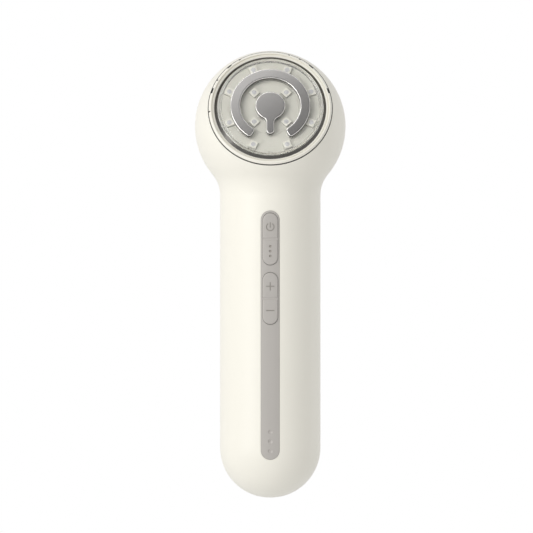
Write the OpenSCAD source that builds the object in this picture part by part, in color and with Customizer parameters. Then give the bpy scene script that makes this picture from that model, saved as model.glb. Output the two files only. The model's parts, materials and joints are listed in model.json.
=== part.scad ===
// Hand-held facial toning device: a round handle that blends into a ball-shaped head,
// with two metal electrodes and twelve lamps on a face that is tilted upwards.
// Millimetres. Z runs along the handle from the bottom of its round end, and the front faces -Y.

/* [Body] */
// Diameter of the round handle
handle_d = 40; // [38:0.5:48]
// Diameter of the ball-shaped head
head_d = 60; // [58:0.5:72]
// Height of the head's centre above the bottom of the round end
head_z = 148; // [146:0.1:180]
// Radius of the hollow blend between handle and head
neck_r = 13; // [10:0.5:16]
// Wall of the casing
wall = 2.2; // [2:0.1:2.7]
// How far the treatment face is tilted upwards, in degrees
face_tilt = 24; // [18:1:30]
// Width of the tongue that locks the two halves of the casing
lip_h = 1.5; // [1:0.1:2.5]

/* [Treatment face] */
// Radius of the seam between casing and bezel
seam_r = 24.7; // [24.2:0.1:26]
// Thickness of the seal in that seam
seal_t = 0.35; // [0.3:0.05:0.6]
// Height of the bezel's flat top above the seam
bezel_rise = 1.1; // [0.9:0.1:1.6]
// Width of the narrow groove round the bezel's top
groove_w = 0.35; // [0.2:0.05:0.38]
// Depth of that groove
groove_depth = 0.5; // [0.3:0.05:0.6]
// Outer radius of the dark metal ring
ring_r = 22.2; // [22:0.1:22.6]
// Width of the dark metal ring
ring_w = 1.05; // [1:0.05:1.2]
// Height of the metal ring's top above the seam
ring_rise = 0.7; // [0.5:0.1:0.8]
// Height of the clear cover above the seam
cover_rise = 2.2; // [2.1:0.1:2.6]
// Wall of the clear cover
cover_t = 0.7; // [0.5:0.1:0.8]
// Height of the inner plate's face above the seam
plate_rise = 0.2; // [0:0.1:0.3]

/* [Electrodes] */
// Height of the electrodes above the seam
electrode_rise = 3; // [2.7:0.1:4]
// Inner radius of the C-shaped electrode
arc_in_r = 12; // [11.6:0.1:12.5]
// Width of the C-shaped electrode
arc_w = 3.9; // [3:0.1:4]
// Opening of the C, in degrees
arc_gap = 60; // [40:1:80]
// Corner radius at the ends of the C
arc_corner_r = 1.2; // [0.8:0.1:1.4]
// Radius of the keyhole electrode's disc
keyhole_r = 5.95; // [5:0.05:6.5]
// Width of its tail
tail_w = 3.1; // [2.8:0.1:4]
// How far the tail's end lies below the disc's centre
tail_reach = 12.3; // [11.8:0.1:13]
// Radius of the hollow blend between disc and tail
tail_blend_r = 2.5; // [1.5:0.1:3]

/* [Lamps] */
// Side of a square lamp
lamp_w = 3.1; // [2.4:0.1:3.1]
// Height of a lamp above its board
lamp_h = 1.6; // [1.3:0.1:1.7]
// Number of lamps outside the C
outer_lamps = 8; // [6:1:8]
// Radius of the outer ring of lamps
outer_lamp_r = 17.6; // [17.5:0.1:17.9]
// Number of lamps inside the C
inner_lamps = 4; // [4:4]
// Radius of the inner ring of lamps
inner_lamp_r = 9; // [8.8:0.1:9.4]

/* [Strip and keys] */
// Width of the strip on the handle's front
strip_w = 7.5; // [7:0.1:9]
// Thickness of the strip
strip_t = 1.2; // [1:0.1:1.3]
// Height of the strip's lower end
strip_bottom = 15.3; // [14:0.1:17]
// Distance of the strip's upper end below the start of the neck
strip_top_gap = 6.1; // [5:0.1:10]
// Length of a rocker key
key_l = 20.5; // [18:0.5:24.6]
// Margin between a key's ends and the strip
key_margin = 1.05; // [1:0.05:1.3]
// Margin between a key's sides and the strip's edges
key_side = 0.85; // [0.8:0.05:1.2]
// Distance between the two keys
key_spacing = 3.1; // [2.5:0.1:5]
// Height of a key above the strip
key_rise = 0.5; // [0.4:0.1:0.8]
// Width of the groove across a key
key_groove_w = 1.2; // [0.8:0.1:1.6]
// Diameter of an indicator dimple
dimple_d = 1.9; // [1.5:0.1:2.2]
// Distance between the indicator dimples
dimple_pitch = 3.85; // [3.4:0.05:4.2]
// Height of the lowest dimple
dimple_z = 18.7; // [18:0.1:20]

/* [Inside the handle] */
// Depth of the main board's front below the handle's surface
board_depth = 7.4; // [7.2:0.1:8]
// Width of the main board
board_w = 20; // [18:0.5:20]
// Thickness of the boards
board_t = 1.2; // [1:0.1:1.6]
// Height of the main board's lower end
board_bottom = 14; // [14:0.5:16]
// Diameter of the cell
cell_d = 18.5; // [16:0.5:22.2]
// Length of the cell
cell_l = 65; // [60:0.5:66]
// Height of the cell's lower end
cell_z = 31; // [30:0.5:34]
// Thickness of the chassis plate
chassis_t = 1.5; // [1.2:0.1:2]

/* [Charging port] */
// Width of the charging socket
socket_w = 8.94; // [8:0.02:9.2]
// Thickness of the charging socket
socket_t = 3.26; // [3:0.02:3.4]
// Length of the charging socket
socket_l = 7.3; // [6.5:0.1:8]
// Depth of the socket's mouth above the bottom of the round end
socket_z = 0.9; // [0.8:0.1:1.2]

/* [Vibration motor] */
// Diameter of the motor's can
motor_d = 6; // [5:0.5:7]
// Length of the motor's can
motor_l = 12; // [10:0.5:14]
// Radius of the off-centre weight
weight_r = 2.8; // [2.4:0.1:3.2]
// Distance of the motor behind the body's axis
motor_y = 8; // [6:0.5:9]

/* [Fits] */
// Gap between parts that are placed by hand
fit = 0.1; // [0.05:0.01:0.15]
// Gap round a key in its window
key_gap = 0.2; // [0.15:0.01:0.3]
// Running clearance of a pivot, on the radius
running = 0.05; // [0.03:0.01:0.08]
// Clearance of a screw or stud in its hole, on the radius
thread_fit = 0.02; // [0.01:0.01:0.05]

/* [Hidden] */
$fn = 96;

cream = "#ece9dc";
taupe = "#b7b2a9";
dark_metal = "#5d5a58";
steel = "#a8a5a3";
board_green = "#3d6b4f";
board_white = "#e6e6de";
grey_plastic = "#7d7d7d";
rubber_black = "#2b2b2b";

over = 1;                                    // how far a cutting shape runs past what it cuts

// body
handle_r = handle_d / 2;
head_r = head_d / 2;
inner_r = handle_r - wall;
neck_x = handle_r + neck_r;                  // the blend's centre lies this far from the axis
neck_drop = sqrt(pow(head_r + neck_r, 2) - pow(neck_x, 2));
neck_z = head_z - neck_drop;                 // the handle's straight part ends here
front_start = 180;                           // the front half sweeps from here, the rear from 0
half_turn = 180;
lip_inset = wall / 2;
lip_turn = 5;                                // the lip is swept this far past the half turn
lip_bite = 0.4;                              // the lip's groove is cut this much deeper than the wall
strip_sweep = 60;                            // the strip's recess is cut from this part of a turn

// treatment face: heights are along its own axis, from the head's centre
seam_h = sqrt(pow(head_r, 2) - pow(seam_r, 2));
bezel_h = seam_h + bezel_rise;
ring_h = seam_h + ring_rise;
cover_h = seam_h + cover_rise;
plate_h = seam_h + plate_rise;
electrode_h = seam_h + electrode_rise;
shoulder_h = seam_h - 0.15;                  // ring and cover stand on the bezel's shoulder
ring_in_r = ring_r - ring_w;
cover_r = ring_in_r - fit;
cover_rim_w = 1.1;
cover_chamfer = 0.6;
cover_in_r = cover_r - cover_rim_w;
plate_t = 0.6;
plate_r = cover_in_r - fit;
lamp_board_top = plate_h - plate_t;
lamp_board_back = lamp_board_top - board_t;
lamp_board_r = ring_in_r - 0.7;
groove_r = ring_r + 0.7;
skirt_in_r = lamp_board_r + fit;
skirt_r = ring_r + 1.1;
collar_bore_r = skirt_r + fit;
collar_t = 1.4;
collar_h = seam_h - 4.5;                     // the collar ends and the carrier starts here
seal_in_r = skirt_r + fit;
seal_r = seam_r - 0.4;
carrier_t = 1.5;
carrier_r = sqrt(pow(head_r - wall, 2) - pow(collar_h, 2)) - 0.25;
carrier_in_r = 17.5;
boss_count = 3;
boss_r = 2;
boss_step = 0.2;                             // the bosses stand this far below the skirt
boss_ring_r = skirt_in_r - 0.95;

// studs, nuts and sensor behind the electrodes
stud_r = 1;
stud_hole_r = stud_r + 0.2;
stud_h = lamp_board_back - 1.6;
nut_t = 1.2;
nut_r = 2.2;
arc_mid_r = arc_in_r + arc_w / 2;
blend_bite = 0.01;                           // blend and disc cross, so that their outlines join cleanly
arc_stud_angles = [90, 200, 340];
keyhole_studs = [[0, 0], [0, -tail_reach + 2.3]];
sensor_r = 0.9;
sensor_at = [0, -4.6];
sensor_l = 4;

// lamps
lamp_spots = concat(
    [for (i = [0 : outer_lamps - 1]) [outer_lamp_r, (i + 0.5) * 360 / outer_lamps]],
    [for (i = [0 : inner_lamps - 1]) [inner_lamp_r, (i + 0.5) * 360 / inner_lamps]]
);
lamp_dome_r = 0.95;
lamp_dome_h = 0.15;

// strip and keys
strip_top = neck_z - strip_top_gap;
key_w = strip_w - 2 * key_side;
key_top = strip_top - key_margin;
key_1_z = key_top - key_l / 2;
key_2_z = key_1_z - key_l - key_spacing;
key_under = handle_r - 2.7;                  // depth of the key's flat underside, from the axis
pin_depth = handle_r - 3.8;                  // the pins lie this far in front of the axis
pin_r = 0.5;
pin_l = key_w + 3.4;
lug_w = key_w - 0.6;
lug_h = 2.8;
lug_reach = 1.1;
key_bite = 0.5;                              // nubs and lug start this far inside the key's body
ear_gap = key_w / 2 + key_gap + 0.15;
ear_t = 1.5;
ear_h = 3;
ear_depth = 2.9;
ear_shift = 0.35;                            // the ears' middle lies this far in front of the pin
press_offset = key_l / 2 - 3.05;             // from a key's centre to the switches under its ends
nub_r = 1.2;
key_groove_lift = 0.15;                      // the groove's centre lies this far above the key
key_groove_r = norm([key_groove_w / 2, key_groove_lift]);
mark_depth = 0.15;
mark_line = 0.3;
mark_w = 3.3;
mark_offset = 4.8;                           // from a key's middle to the marks on its two ends
power_ring_r = 1.5;
power_gap = 1.6;
power_bar_l = 2;
power_bar_up = 0.75;
dot_d = 0.9;
dot_pitch = 1.92;
dimple_depth = 0.35;

// main board and switches
board_front = board_depth - handle_r;
board_back = board_front + board_t;
board_top = strip_top + 3.7;
switch_w = 4.5;
switch_t = 2.2;
plunger_r = 1.1;
plunger_t = 0.9;
press_gap = 0.3;                             // a key tilts this much before a switch is down
nub_end = board_front - switch_t - plunger_t - press_gap;

// screws
long_screw_r = 0.98;
long_head_r = 1.8;
long_head_t = 1.1;
chassis_screw_l = 7.3;
carrier_screw_l = 4;
small_screw_r = 0.8;
small_head_r = 1.4;
small_head_t = 0.8;
small_screw_l = 4;
small_hole_r = small_screw_r + 0.15;

// chassis and cell
standoff_l = 1.6;
plate_front = board_back + standoff_l;
plate_back = plate_front + chassis_t;
cell_r = cell_d / 2;
cell_y = plate_back + 0.6 + cell_r;
cell_button_h = 0.8;
cell_button_r = 3.2;
tab_t = 0.3;
tab_w = 5;
saddle_t = 3;
saddle_side = 1.4;
chassis_w = cell_d + 2 * saddle_side;
end_wall_t = 1.5;
end_wall_w = cell_d - 3;
chassis_bottom = cell_z - tab_t - end_wall_t - 3;
chassis_top = board_top - 1;
low_screw_z = cell_z + 5;
high_screw_z = key_2_z - key_l / 2 - 9.2;
screw_heights = [low_screw_z, high_screw_z];
board_screw_x = board_w / 2 - 2.2;
board_screw_heights = [chassis_bottom + 3.2, board_top - 6];
standoff_r = 1.9;
screw_boss_r = 3;
chassis_boss_r = 2.3;
boss_face = handle_r - 4.5;                  // shell boss and chassis boss meet here
screw_seat = handle_r - 2.7;
pad_t = 0.8;
pad_gap = 0.04;                              // a foam pad lies this far from cell and rib
pad_h = 6;
pad_sweep = 70;
rib_t = 2;
rib_w = 14;
rib_heights = [cell_z + 14, cell_z + 50];

// light pipe
indicator_t = 0.6;
indicator_w = 1.6;
indicator_h = 0.8;
pipe_bar_y = board_front - indicator_t - fit;
pipe_bar_t = 1.1;
pipe_bar_w = 4;
pipe_peg_r = 0.5;
pipe_r = 0.75;
pipe_hole_r = pipe_r + 0.15;
dimple_heights = [for (i = [0 : 2]) dimple_z + i * dimple_pitch];

// charging port
charge_board_y = socket_t / 2;
charge_board_w = 13;
charge_board_l = 15.8;
charge_board_t = 1;
charge_screw_x = 4.5;
socket_wall = 0.3;
port_w = 12;
port_t = 6;
port_flange = 0.7;
port_flange_t = 0.6;
port_flange_z = handle_r - sqrt(pow(inner_r, 2) - pow(port_w / 2 + port_flange, 2)) + 0.04;
charge_board_z = port_flange_z + port_flange_t + 0.05;
charge_screw_z = charge_board_z + 11.8;

// motor on the rear shell
motor_r = motor_d / 2;
motor_z = head_z + 2;
motor_x = -7;                                // the can's closed end
boot_x = -6;
boot_l = 9;
boot_w = motor_d + 2.4;
saddle_y = motor_y + boot_w / 2;
strap_t = 0.8;
strap_w = 6;
strap_x = boot_x + (boot_l - strap_w) / 2;
foot_l = 3.4;
clamp_screw_offset = boot_w / 2 + strap_t + 1.8;
shaft_r = 0.5;
shaft_in = 2.6;                              // length of shaft in its bearing
nose_r = 1.2;
nose_l = 0.8;
weight_gap = 1.2;
weight_l = 4;
weight_flat = 0.9;                           // the weight's flat lies this far above the shaft's axis
motor_post_w = 3.2;

// flat cables
flex_t = 0.2;
flex_w = 6;
flex_plug_t = 1;
flex_plug_l = 3;
flex_head_y = -14.7;                         // where the head's cable meets its board
lamp_plug_t = 1.2;

// ---------- shared shapes ----------

// half outline of the body, drawn in from its surface by inset
module body_profile(inset) {
    join_z = head_z - (head_r - inset) * neck_drop / (head_r + neck_r);
    intersection() {
        translate([0, handle_r]) circle(r = handle_r - inset);
        translate([0, inset]) square([handle_r - inset, handle_r - inset]);
    }
    translate([0, handle_r]) square([handle_r - inset, neck_z - handle_r]);
    difference() {
        translate([0, neck_z]) square([neck_x, join_z - neck_z]);
        translate([neck_x, neck_z]) circle(r = neck_r + inset);
    }
    intersection() {
        translate([0, head_z]) circle(r = head_r - inset);
        translate([0, join_z]) square([head_r, 2 * head_r]);
    }
}

// layer of the body between two insets, swept over part of a turn
module body_layer(outer, inner, start, sweep) {
    rotate_extrude(start = start, angle = sweep) difference() {
        body_profile(outer);
        body_profile(inner);
    }
}

// solid body, drawn in by inset, over part of a turn
module body_core(inset, start, sweep) {
    rotate_extrude(start = start, angle = sweep) body_profile(inset);
}

// children drawn in X and Z are extruded towards the front from the axis
module to_front(depth) {
    rotate([90, 0, 0]) linear_extrude(depth) children();
}

// cylinder along Y between two places
module rod_y(r, x, z, from, to) {
    translate([x, max(from, to), z]) rotate([90, 0, 0]) cylinder(r = r, h = abs(to - from));
}

// cylinder along X
module rod_x(r, x, y, z, l) {
    translate([x, y, z]) rotate([0, 90, 0]) cylinder(r = r, h = l);
}

// outline with two straight sides and full-round ends, upright
module pill(w, l) {
    square([w, l - w], center = true);
    for (end = [-1, 1]) translate([0, end * (l - w) / 2]) circle(d = w);
}

// the same, between two heights on the front
module front_pill(w, bottom, top, depth) {
    to_front(depth) translate([0, (bottom + top) / 2]) pill(w, top - bottom);
}

// puts children on the treatment face: Z is its axis, Y points up along it
module on_face() {
    translate([0, 0, head_z]) rotate([90 - face_tilt, 0, 0]) children();
}

module at_height(h) {
    translate([0, 0, h]) children();
}

module ring(outer, inner, h) {
    difference() {
        cylinder(r = outer, h = h);
        translate([0, 0, -over]) cylinder(r = inner, h = h + 2 * over);
    }
}

// how far in front of the axis the strip's underside lies at a height
function strip_under(z) = sqrt(pow(handle_r - strip_t, 2) - pow(max(handle_r - z, 0), 2));

// a place on the face, as [y, z] in the body
function face_point(up, out) = [
    up * sin(face_tilt) - out * cos(face_tilt),
    head_z + up * cos(face_tilt) + out * sin(face_tilt)
];

// ---------- casing ----------

module port_hole(grow) {
    linear_extrude(handle_r / 2) rotate(90) pill(port_t + 2 * grow, port_w + 2 * grow);
}

module key_window(z) {
    front_pill(key_w + 2 * key_gap, z - key_l / 2 - key_gap, z + key_l / 2 + key_gap, handle_r + over);
}

module key_ears(z) {
    for (side = [-1, 1])
        translate([side * (ear_gap + ear_t / 2), -pin_depth, z]) {
            difference() {
                translate([0, -ear_shift, 0]) cube([ear_t, ear_depth, ear_h], center = true);
                rod_x(pin_r + thread_fit, -ear_t, 0, 0, 2 * ear_t);
            }
        }
}

module screw_well(z) {
    rod_y(long_head_r + 2 * fit, 0, z, -handle_r - over, -screw_seat);
    rod_y(long_screw_r + fit, 0, z, -handle_r, -boss_face + over);
}

module front_shell() color(cream) {
    difference() {
        union() {
            body_layer(0, wall, front_start, half_turn);
            on_face() at_height(collar_h)
                ring(collar_bore_r + collar_t, collar_bore_r, seam_h - collar_h);
            for (z = screw_heights)
                rod_y(screw_boss_r, 0, z, -handle_r + 1.9, -boss_face);
        }
        on_face() at_height(seam_h) cylinder(r = head_r, h = head_r);
        on_face() at_height(collar_h - over) cylinder(r = collar_bore_r, h = head_r);
        intersection() {
            body_layer(lip_inset, wall + lip_bite, front_start - lip_turn, half_turn + 2 * lip_turn);
            translate([-head_d, -lip_h - fit, -over]) cube([2 * head_d, head_d, 2 * head_z]);
        }
        intersection() {
            body_layer(-over, strip_t + fit / 2, front_start + strip_sweep, strip_sweep);
            front_pill(strip_w + 2 * fit, strip_bottom - fit, strip_top + fit, handle_r + over);
        }
        for (z = [key_1_z, key_2_z]) key_window(z);
        for (z = screw_heights) screw_well(z);
        for (z = dimple_heights) rod_y(pipe_hole_r, 0, z, -handle_r, -handle_r + 2 * wall);
        port_hole(fit);
    }
    for (z = [key_1_z, key_2_z]) key_ears(z);
}

module motor_bracket() {
    intersection() {
        for (side = [-1, 1]) {
            translate([boot_x, saddle_y, motor_z - boot_w / 2 - foot_l - strap_t])
                cube([boot_l, 2, boot_w + 2 * foot_l + 2 * strap_t]);
            translate([boot_x, saddle_y, motor_z + side * clamp_screw_offset - motor_post_w / 2])
                cube([boot_l, head_r, motor_post_w]);
        }
        body_core(wall - 0.4, 0, half_turn);
    }
}

module cell_rib(z) {
    difference() {
        intersection() {
            translate([-rib_w / 2, cell_y, z - rib_t / 2]) cube([rib_w, handle_r, rib_t]);
            cylinder(r = inner_r + 0.4, h = head_z);
        }
        translate([0, cell_y, z - rib_t]) cylinder(r = cell_r + pad_t + 2 * pad_gap, h = 2 * rib_t);
    }
}

module charge_posts() {
    intersection() {
        for (side = [-1, 1])
            rod_y(standoff_r, side * charge_screw_x, charge_screw_z,
                charge_board_y + charge_board_t, handle_r);
        body_core(wall - 0.4, 0, half_turn);
    }
}

module rear_shell() color(cream) {
    difference() {
        union() {
            body_layer(0, wall, 0, half_turn);
            intersection() {
                body_layer(lip_inset + fit, wall, front_start - lip_turn, half_turn + 2 * lip_turn);
                translate([-head_d, -lip_h, -over]) cube([2 * head_d, lip_h + lip_bite, 2 * head_z]);
            }
            motor_bracket();
            for (z = rib_heights) cell_rib(z);
            charge_posts();
        }
        port_hole(fit);
        for (side = [-1, 1]) {
            rod_y(small_screw_r + thread_fit, side * charge_screw_x, charge_screw_z,
                charge_board_y, charge_board_y + small_screw_l + 0.5);
            rod_y(small_screw_r + thread_fit, strap_x + strap_w / 2,
                motor_z + side * clamp_screw_offset, saddle_y - over, saddle_y + 3.6);
        }
    }
}

module port_insert() color(cream) {
    difference() {
        union() {
            intersection() {
                linear_extrude(port_flange_z + port_flange_t / 2) rotate(90) pill(port_t, port_w);
                translate([0, 0, handle_r]) sphere(r = handle_r);
            }
            translate([0, 0, port_flange_z]) linear_extrude(port_flange_t)
                rotate(90) pill(port_t + 2 * port_flange, port_w + 2 * port_flange);
        }
        translate([0, 0, -over]) linear_extrude(2 * over + 6)
            rotate(90) pill(socket_t + fit, socket_w + fit);
    }
}

// ---------- head ----------

module head_seal() color(rubber_black) {
    on_face() at_height(seam_h) ring(seal_r, seal_in_r, seal_t);
}

module head_bezel() color(cream) {
    on_face() difference() {
        union() {
            intersection() {
                at_height(seam_h + seal_t) cylinder(r = head_r, h = bezel_rise - seal_t);
                sphere(r = head_r);
            }
            at_height(collar_h + boss_step) ring(skirt_r, skirt_in_r, bezel_h - collar_h - 2 * boss_step);
            for (i = [0 : boss_count - 1])
                rotate(90 + i * 360 / boss_count)
                    translate([boss_ring_r, 0, collar_h]) cylinder(r = boss_r, h = lamp_board_back - collar_h);
        }
        at_height(shoulder_h) cylinder(r = ring_r + fit / 2, h = head_r);
        at_height(bezel_h - groove_depth) ring(groove_r + groove_w, groove_r, head_r);
        at_height(lamp_board_back) cylinder(r = skirt_in_r, h = head_r);
        for (i = [0 : boss_count - 1])
            rotate(90 + i * 360 / boss_count)
                translate([boss_ring_r, 0, collar_h - over])
                    cylinder(r = long_screw_r + thread_fit, h = over + lamp_board_back - collar_h - 0.4);
    }
}

module trim_ring() color(dark_metal) {
    on_face() at_height(shoulder_h) ring(ring_r, ring_in_r, ring_h - shoulder_h);
}

// outline of the C, grown by a clearance
module arc_outline(grow) {
    corner = arc_corner_r + grow;
    near_r = arc_in_r + arc_corner_r;
    far_r = arc_in_r + arc_w - arc_corner_r;
    half_sweep = (360 - arc_gap) / 2;
    near_turn = half_sweep - asin(arc_corner_r / near_r);
    far_turn = half_sweep - asin(arc_corner_r / far_r);
    difference() {
        circle(r = arc_in_r + arc_w + grow);
        circle(r = arc_in_r - grow);
        wedge = 3 * arc_in_r;
        polygon([
            [0, 0],
            wedge * [sin(near_turn), cos(near_turn)],
            wedge * [1, -1],
            wedge * [-1, -1],
            wedge * [-sin(near_turn), cos(near_turn)]
        ]);
    }
    for (side = [-1, 1]) {
        near = near_r * [side * sin(near_turn), cos(near_turn)];
        far = far_r * [side * sin(far_turn), cos(far_turn)];
        step = corner * [side * cos(half_sweep), -sin(half_sweep)];
        translate(near) circle(r = corner);
        translate(far) circle(r = corner);
        polygon([near, far, far + step, near + step]);
    }
}

// outline of the disc with its tail, grown by a clearance
module keyhole_outline(grow) {
    blend_r = tail_blend_r - grow;
    blend_x = tail_w / 2 + tail_blend_r;
    blend_y = -sqrt(pow(keyhole_r + tail_blend_r - blend_bite, 2) - pow(blend_x, 2));
    tail_r = tail_w / 2 + grow;
    end_y = tail_w / 2 - tail_reach;
    circle(r = keyhole_r + grow);
    difference() {
        polygon([[0, 0], [blend_x, blend_y], [-blend_x, blend_y]]);
        for (side = [-1, 1]) translate([side * blend_x, blend_y]) circle(r = blend_r);
    }
    translate([-tail_r, end_y]) square([2 * tail_r, blend_y - end_y]);
    translate([0, end_y]) circle(r = tail_r);
}

module studs(spots, r, bottom, top) {
    for (spot = spots) translate([spot[0], spot[1], bottom]) cylinder(r = r, h = top - bottom);
}

arc_studs = [for (a = arc_stud_angles) arc_mid_r * [cos(a), sin(a)]];

module arc_electrode() color(steel) {
    on_face() {
        at_height(plate_h) linear_extrude(electrode_h - plate_h) arc_outline(0);
        studs(arc_studs, stud_r, stud_h, plate_h);
    }
}

module keyhole_electrode() color(steel) {
    on_face() {
        at_height(plate_h) linear_extrude(electrode_h - plate_h) keyhole_outline(0);
        studs(keyhole_studs, stud_r, stud_h, plate_h);
    }
}

module electrode_nuts() color(steel) {
    on_face() for (spot = concat(arc_studs, keyhole_studs))
        translate([spot[0], spot[1], lamp_board_back - nut_t]) difference() {
            cylinder(r = nut_r, h = nut_t, $fn = 6);
            translate([0, 0, -over]) cylinder(r = stud_r + thread_fit, h = nut_t + 2 * over);
        }
}

module lens_cover() color("#e4e6e2", 0.5) {
    on_face() difference() {
        rotate_extrude() polygon([
            [0, cover_h - cover_t],
            [cover_in_r, cover_h - cover_t],
            [cover_in_r, shoulder_h],
            [cover_r, shoulder_h],
            [cover_r, cover_h - cover_chamfer],
            [cover_r - cover_chamfer, cover_h],
            [0, cover_h]
        ]);
        at_height(seam_h) linear_extrude(head_r) arc_outline(fit);
        at_height(seam_h) linear_extrude(head_r) keyhole_outline(fit);
    }
}

module led_plate() color(cream) {
    on_face() difference() {
        at_height(plate_h - plate_t) cylinder(r = plate_r, h = plate_t);
        for (spot = lamp_spots)
            rotate(spot[1]) translate([spot[0], 0, plate_h])
                cube([lamp_w + 2 * fit, lamp_w + 2 * fit, 2 * plate_t + over], center = true);
        studs(concat(arc_studs, keyhole_studs), stud_hole_r, plate_h - plate_t - over, plate_h + over);
        studs([sensor_at], sensor_r + 2 * fit, plate_h - plate_t - over, plate_h + over);
    }
}

module leds() color("#f2f0e6") {
    on_face() for (spot = lamp_spots)
        rotate(spot[1]) translate([spot[0], 0, lamp_board_top]) {
            translate([-lamp_w / 2, -lamp_w / 2, 0]) cube([lamp_w, lamp_w, lamp_h]);
            at_height(lamp_h) cylinder(r = lamp_dome_r, h = lamp_dome_h);
        }
}

module led_board() color(board_white) {
    on_face() {
        difference() {
            at_height(lamp_board_back) cylinder(r = lamp_board_r, h = board_t);
            studs(concat(arc_studs, keyhole_studs), stud_hole_r, lamp_board_back - over, plate_h);
            studs([sensor_at], sensor_r + 2 * fit, lamp_board_back - over, plate_h);
        }
        translate([-flex_w / 2 - 0.5, flex_head_y - 1.5, lamp_board_back - lamp_plug_t])
            cube([flex_w + 1, 3, lamp_plug_t]);
    }
}

module temperature_sensor() color("#3b3b46") {
    on_face() studs([sensor_at], sensor_r, plate_h - sensor_l, plate_h - 0.02);
}

module head_carrier() color(grey_plastic) {
    on_face() difference() {
        at_height(collar_h - carrier_t) ring(carrier_r, carrier_in_r, carrier_t);
        for (i = [0 : boss_count - 1])
            rotate(90 + i * 360 / boss_count)
                translate([boss_ring_r, 0, collar_h - carrier_t - over])
                    cylinder(r = long_screw_r + fit, h = carrier_t + 2 * over);
    }
}

module carrier_screws() color(steel) {
    on_face() for (i = [0 : boss_count - 1])
        rotate(90 + i * 360 / boss_count) translate([boss_ring_r, 0, collar_h - carrier_t]) {
            at_height(-long_head_t) cylinder(r = long_head_r, h = long_head_t);
            cylinder(r = long_screw_r, h = carrier_screw_l);
        }
}

// ---------- strip and keys ----------

module strip_panel() color(taupe) {
    difference() {
        intersection() {
            body_layer(0, strip_t, front_start + strip_sweep, strip_sweep);
            front_pill(strip_w, strip_bottom, strip_top, handle_r + over);
        }
        for (z = [key_1_z, key_2_z]) key_window(z);
        for (z = dimple_heights) {
            dimple_r = dimple_d / 2;
            ball_r = (pow(dimple_r, 2) + pow(dimple_depth, 2)) / (2 * dimple_depth);
            surface = sqrt(pow(handle_r, 2) - pow(min(z - handle_r, 0), 2));
            translate([0, -surface - ball_r + dimple_depth, z]) sphere(r = ball_r);
        }
    }
}

// marks are drawn in X and Z, and cut into the top of a key
module key_marks(z) {
    intersection() {
        to_front(handle_r + 2 * key_rise) translate([0, z]) children();
        difference() {
            cylinder(r = handle_r + 2 * key_rise, h = head_z);
            translate([0, 0, -over]) cylinder(r = handle_r + key_rise - mark_depth, h = head_z + 2 * over);
        }
    }
}

module power_mark() {
    difference() {
        circle(r = power_ring_r + mark_line / 2);
        circle(r = power_ring_r - mark_line / 2);
        translate([0, power_ring_r]) square(power_gap, center = true);
    }
    translate([0, power_bar_up]) square([mark_line, power_bar_l], center = true);
}

module dot_marks() {
    for (i = [-1 : 1]) translate([0, dot_pitch * i]) circle(d = dot_d);
}

module bar_mark() {
    square([mark_w, mark_line], center = true);
}

module rocker_key(z) {
    difference() {
        union() {
            intersection() {
                front_pill(key_w, z - key_l / 2, z + key_l / 2, handle_r + over);
                cylinder(r = handle_r + key_rise, h = head_z);
                translate([-handle_r, -handle_d, 0]) cube([handle_d, handle_d - key_under, head_z]);
            }
            for (end = [-1, 1]) rod_y(nub_r, 0, z + end * press_offset, -key_under - key_bite, nub_end);
            translate([-lug_w / 2, -key_under - key_bite, z - lug_h / 2])
                cube([lug_w, key_under + key_bite - pin_depth + lug_reach, lug_h]);
        }
        rod_x(pin_r + running, -handle_r, -pin_depth, z, handle_d);
        rod_x(key_groove_r, -handle_r, -handle_r - key_rise - key_groove_lift, z, handle_d);
    }
}

module power_mode_key() color(taupe) {
    difference() {
        rocker_key(key_1_z);
        key_marks(key_1_z + mark_offset) power_mark();
        key_marks(key_1_z - mark_offset) dot_marks();
    }
}

module level_key() color(taupe) {
    difference() {
        rocker_key(key_2_z);
        key_marks(key_2_z + mark_offset) {
            bar_mark();
            rotate(90) bar_mark();
        }
        key_marks(key_2_z - mark_offset) bar_mark();
    }
}

module key_pins() color(steel) {
    for (z = [key_1_z, key_2_z]) rod_x(pin_r, -pin_l / 2, -pin_depth, z, pin_l);
}

// ---------- inside the handle ----------

module main_board() color(board_green) {
    difference() {
        translate([-board_w / 2, board_front, board_bottom])
            cube([board_w, board_t, board_top - board_bottom]);
        for (z = screw_heights) rod_y(chassis_boss_r + 2 * fit, 0, z, board_front - over, board_back + over);
        for (side = [-1, 1], z = board_screw_heights)
            rod_y(small_hole_r, side * board_screw_x, z, board_front - over, board_back + over);
    }
}

module board_components() color("#26282c") {
    controller = [6, 0.9, 7];
    driver = [5, 0.8, 4];
    choke = [4, 1.2, 4];
    plug = [flex_w + 1, flex_plug_t, flex_plug_l];
    chip_x = chassis_boss_r + 0.7;
    low_z = low_screw_z + 8;
    high_z = low_z + controller[2] + 3;
    translate([chip_x, board_back, low_z]) cube(controller);
    translate([-chip_x - driver[0], board_back, high_z]) cube(driver);
    translate([chip_x, board_back, high_z]) cube(choke);
    translate([-plug[0] / 2, board_front - flex_plug_t, board_top - flex_plug_l - 0.5]) cube(plug);
    translate([-plug[0] / 2, board_back, dimple_z]) cube(plug);
}

module tact_switches() color("#3a3d42") {
    for (key = [key_1_z, key_2_z], end = [-1, 1]) {
        z = key + end * press_offset;
        translate([-switch_w / 2, board_front - switch_t, z - switch_w / 2])
            cube([switch_w, switch_t, switch_w]);
        rod_y(plunger_r, 0, z, board_front - switch_t, board_front - switch_t - plunger_t);
    }
}

module indicator_leds() color("#f4f1d8") {
    for (z = dimple_heights)
        translate([-indicator_w / 2, board_front - indicator_t, z - indicator_h / 2])
            cube([indicator_w, indicator_t, indicator_h]);
}

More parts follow.
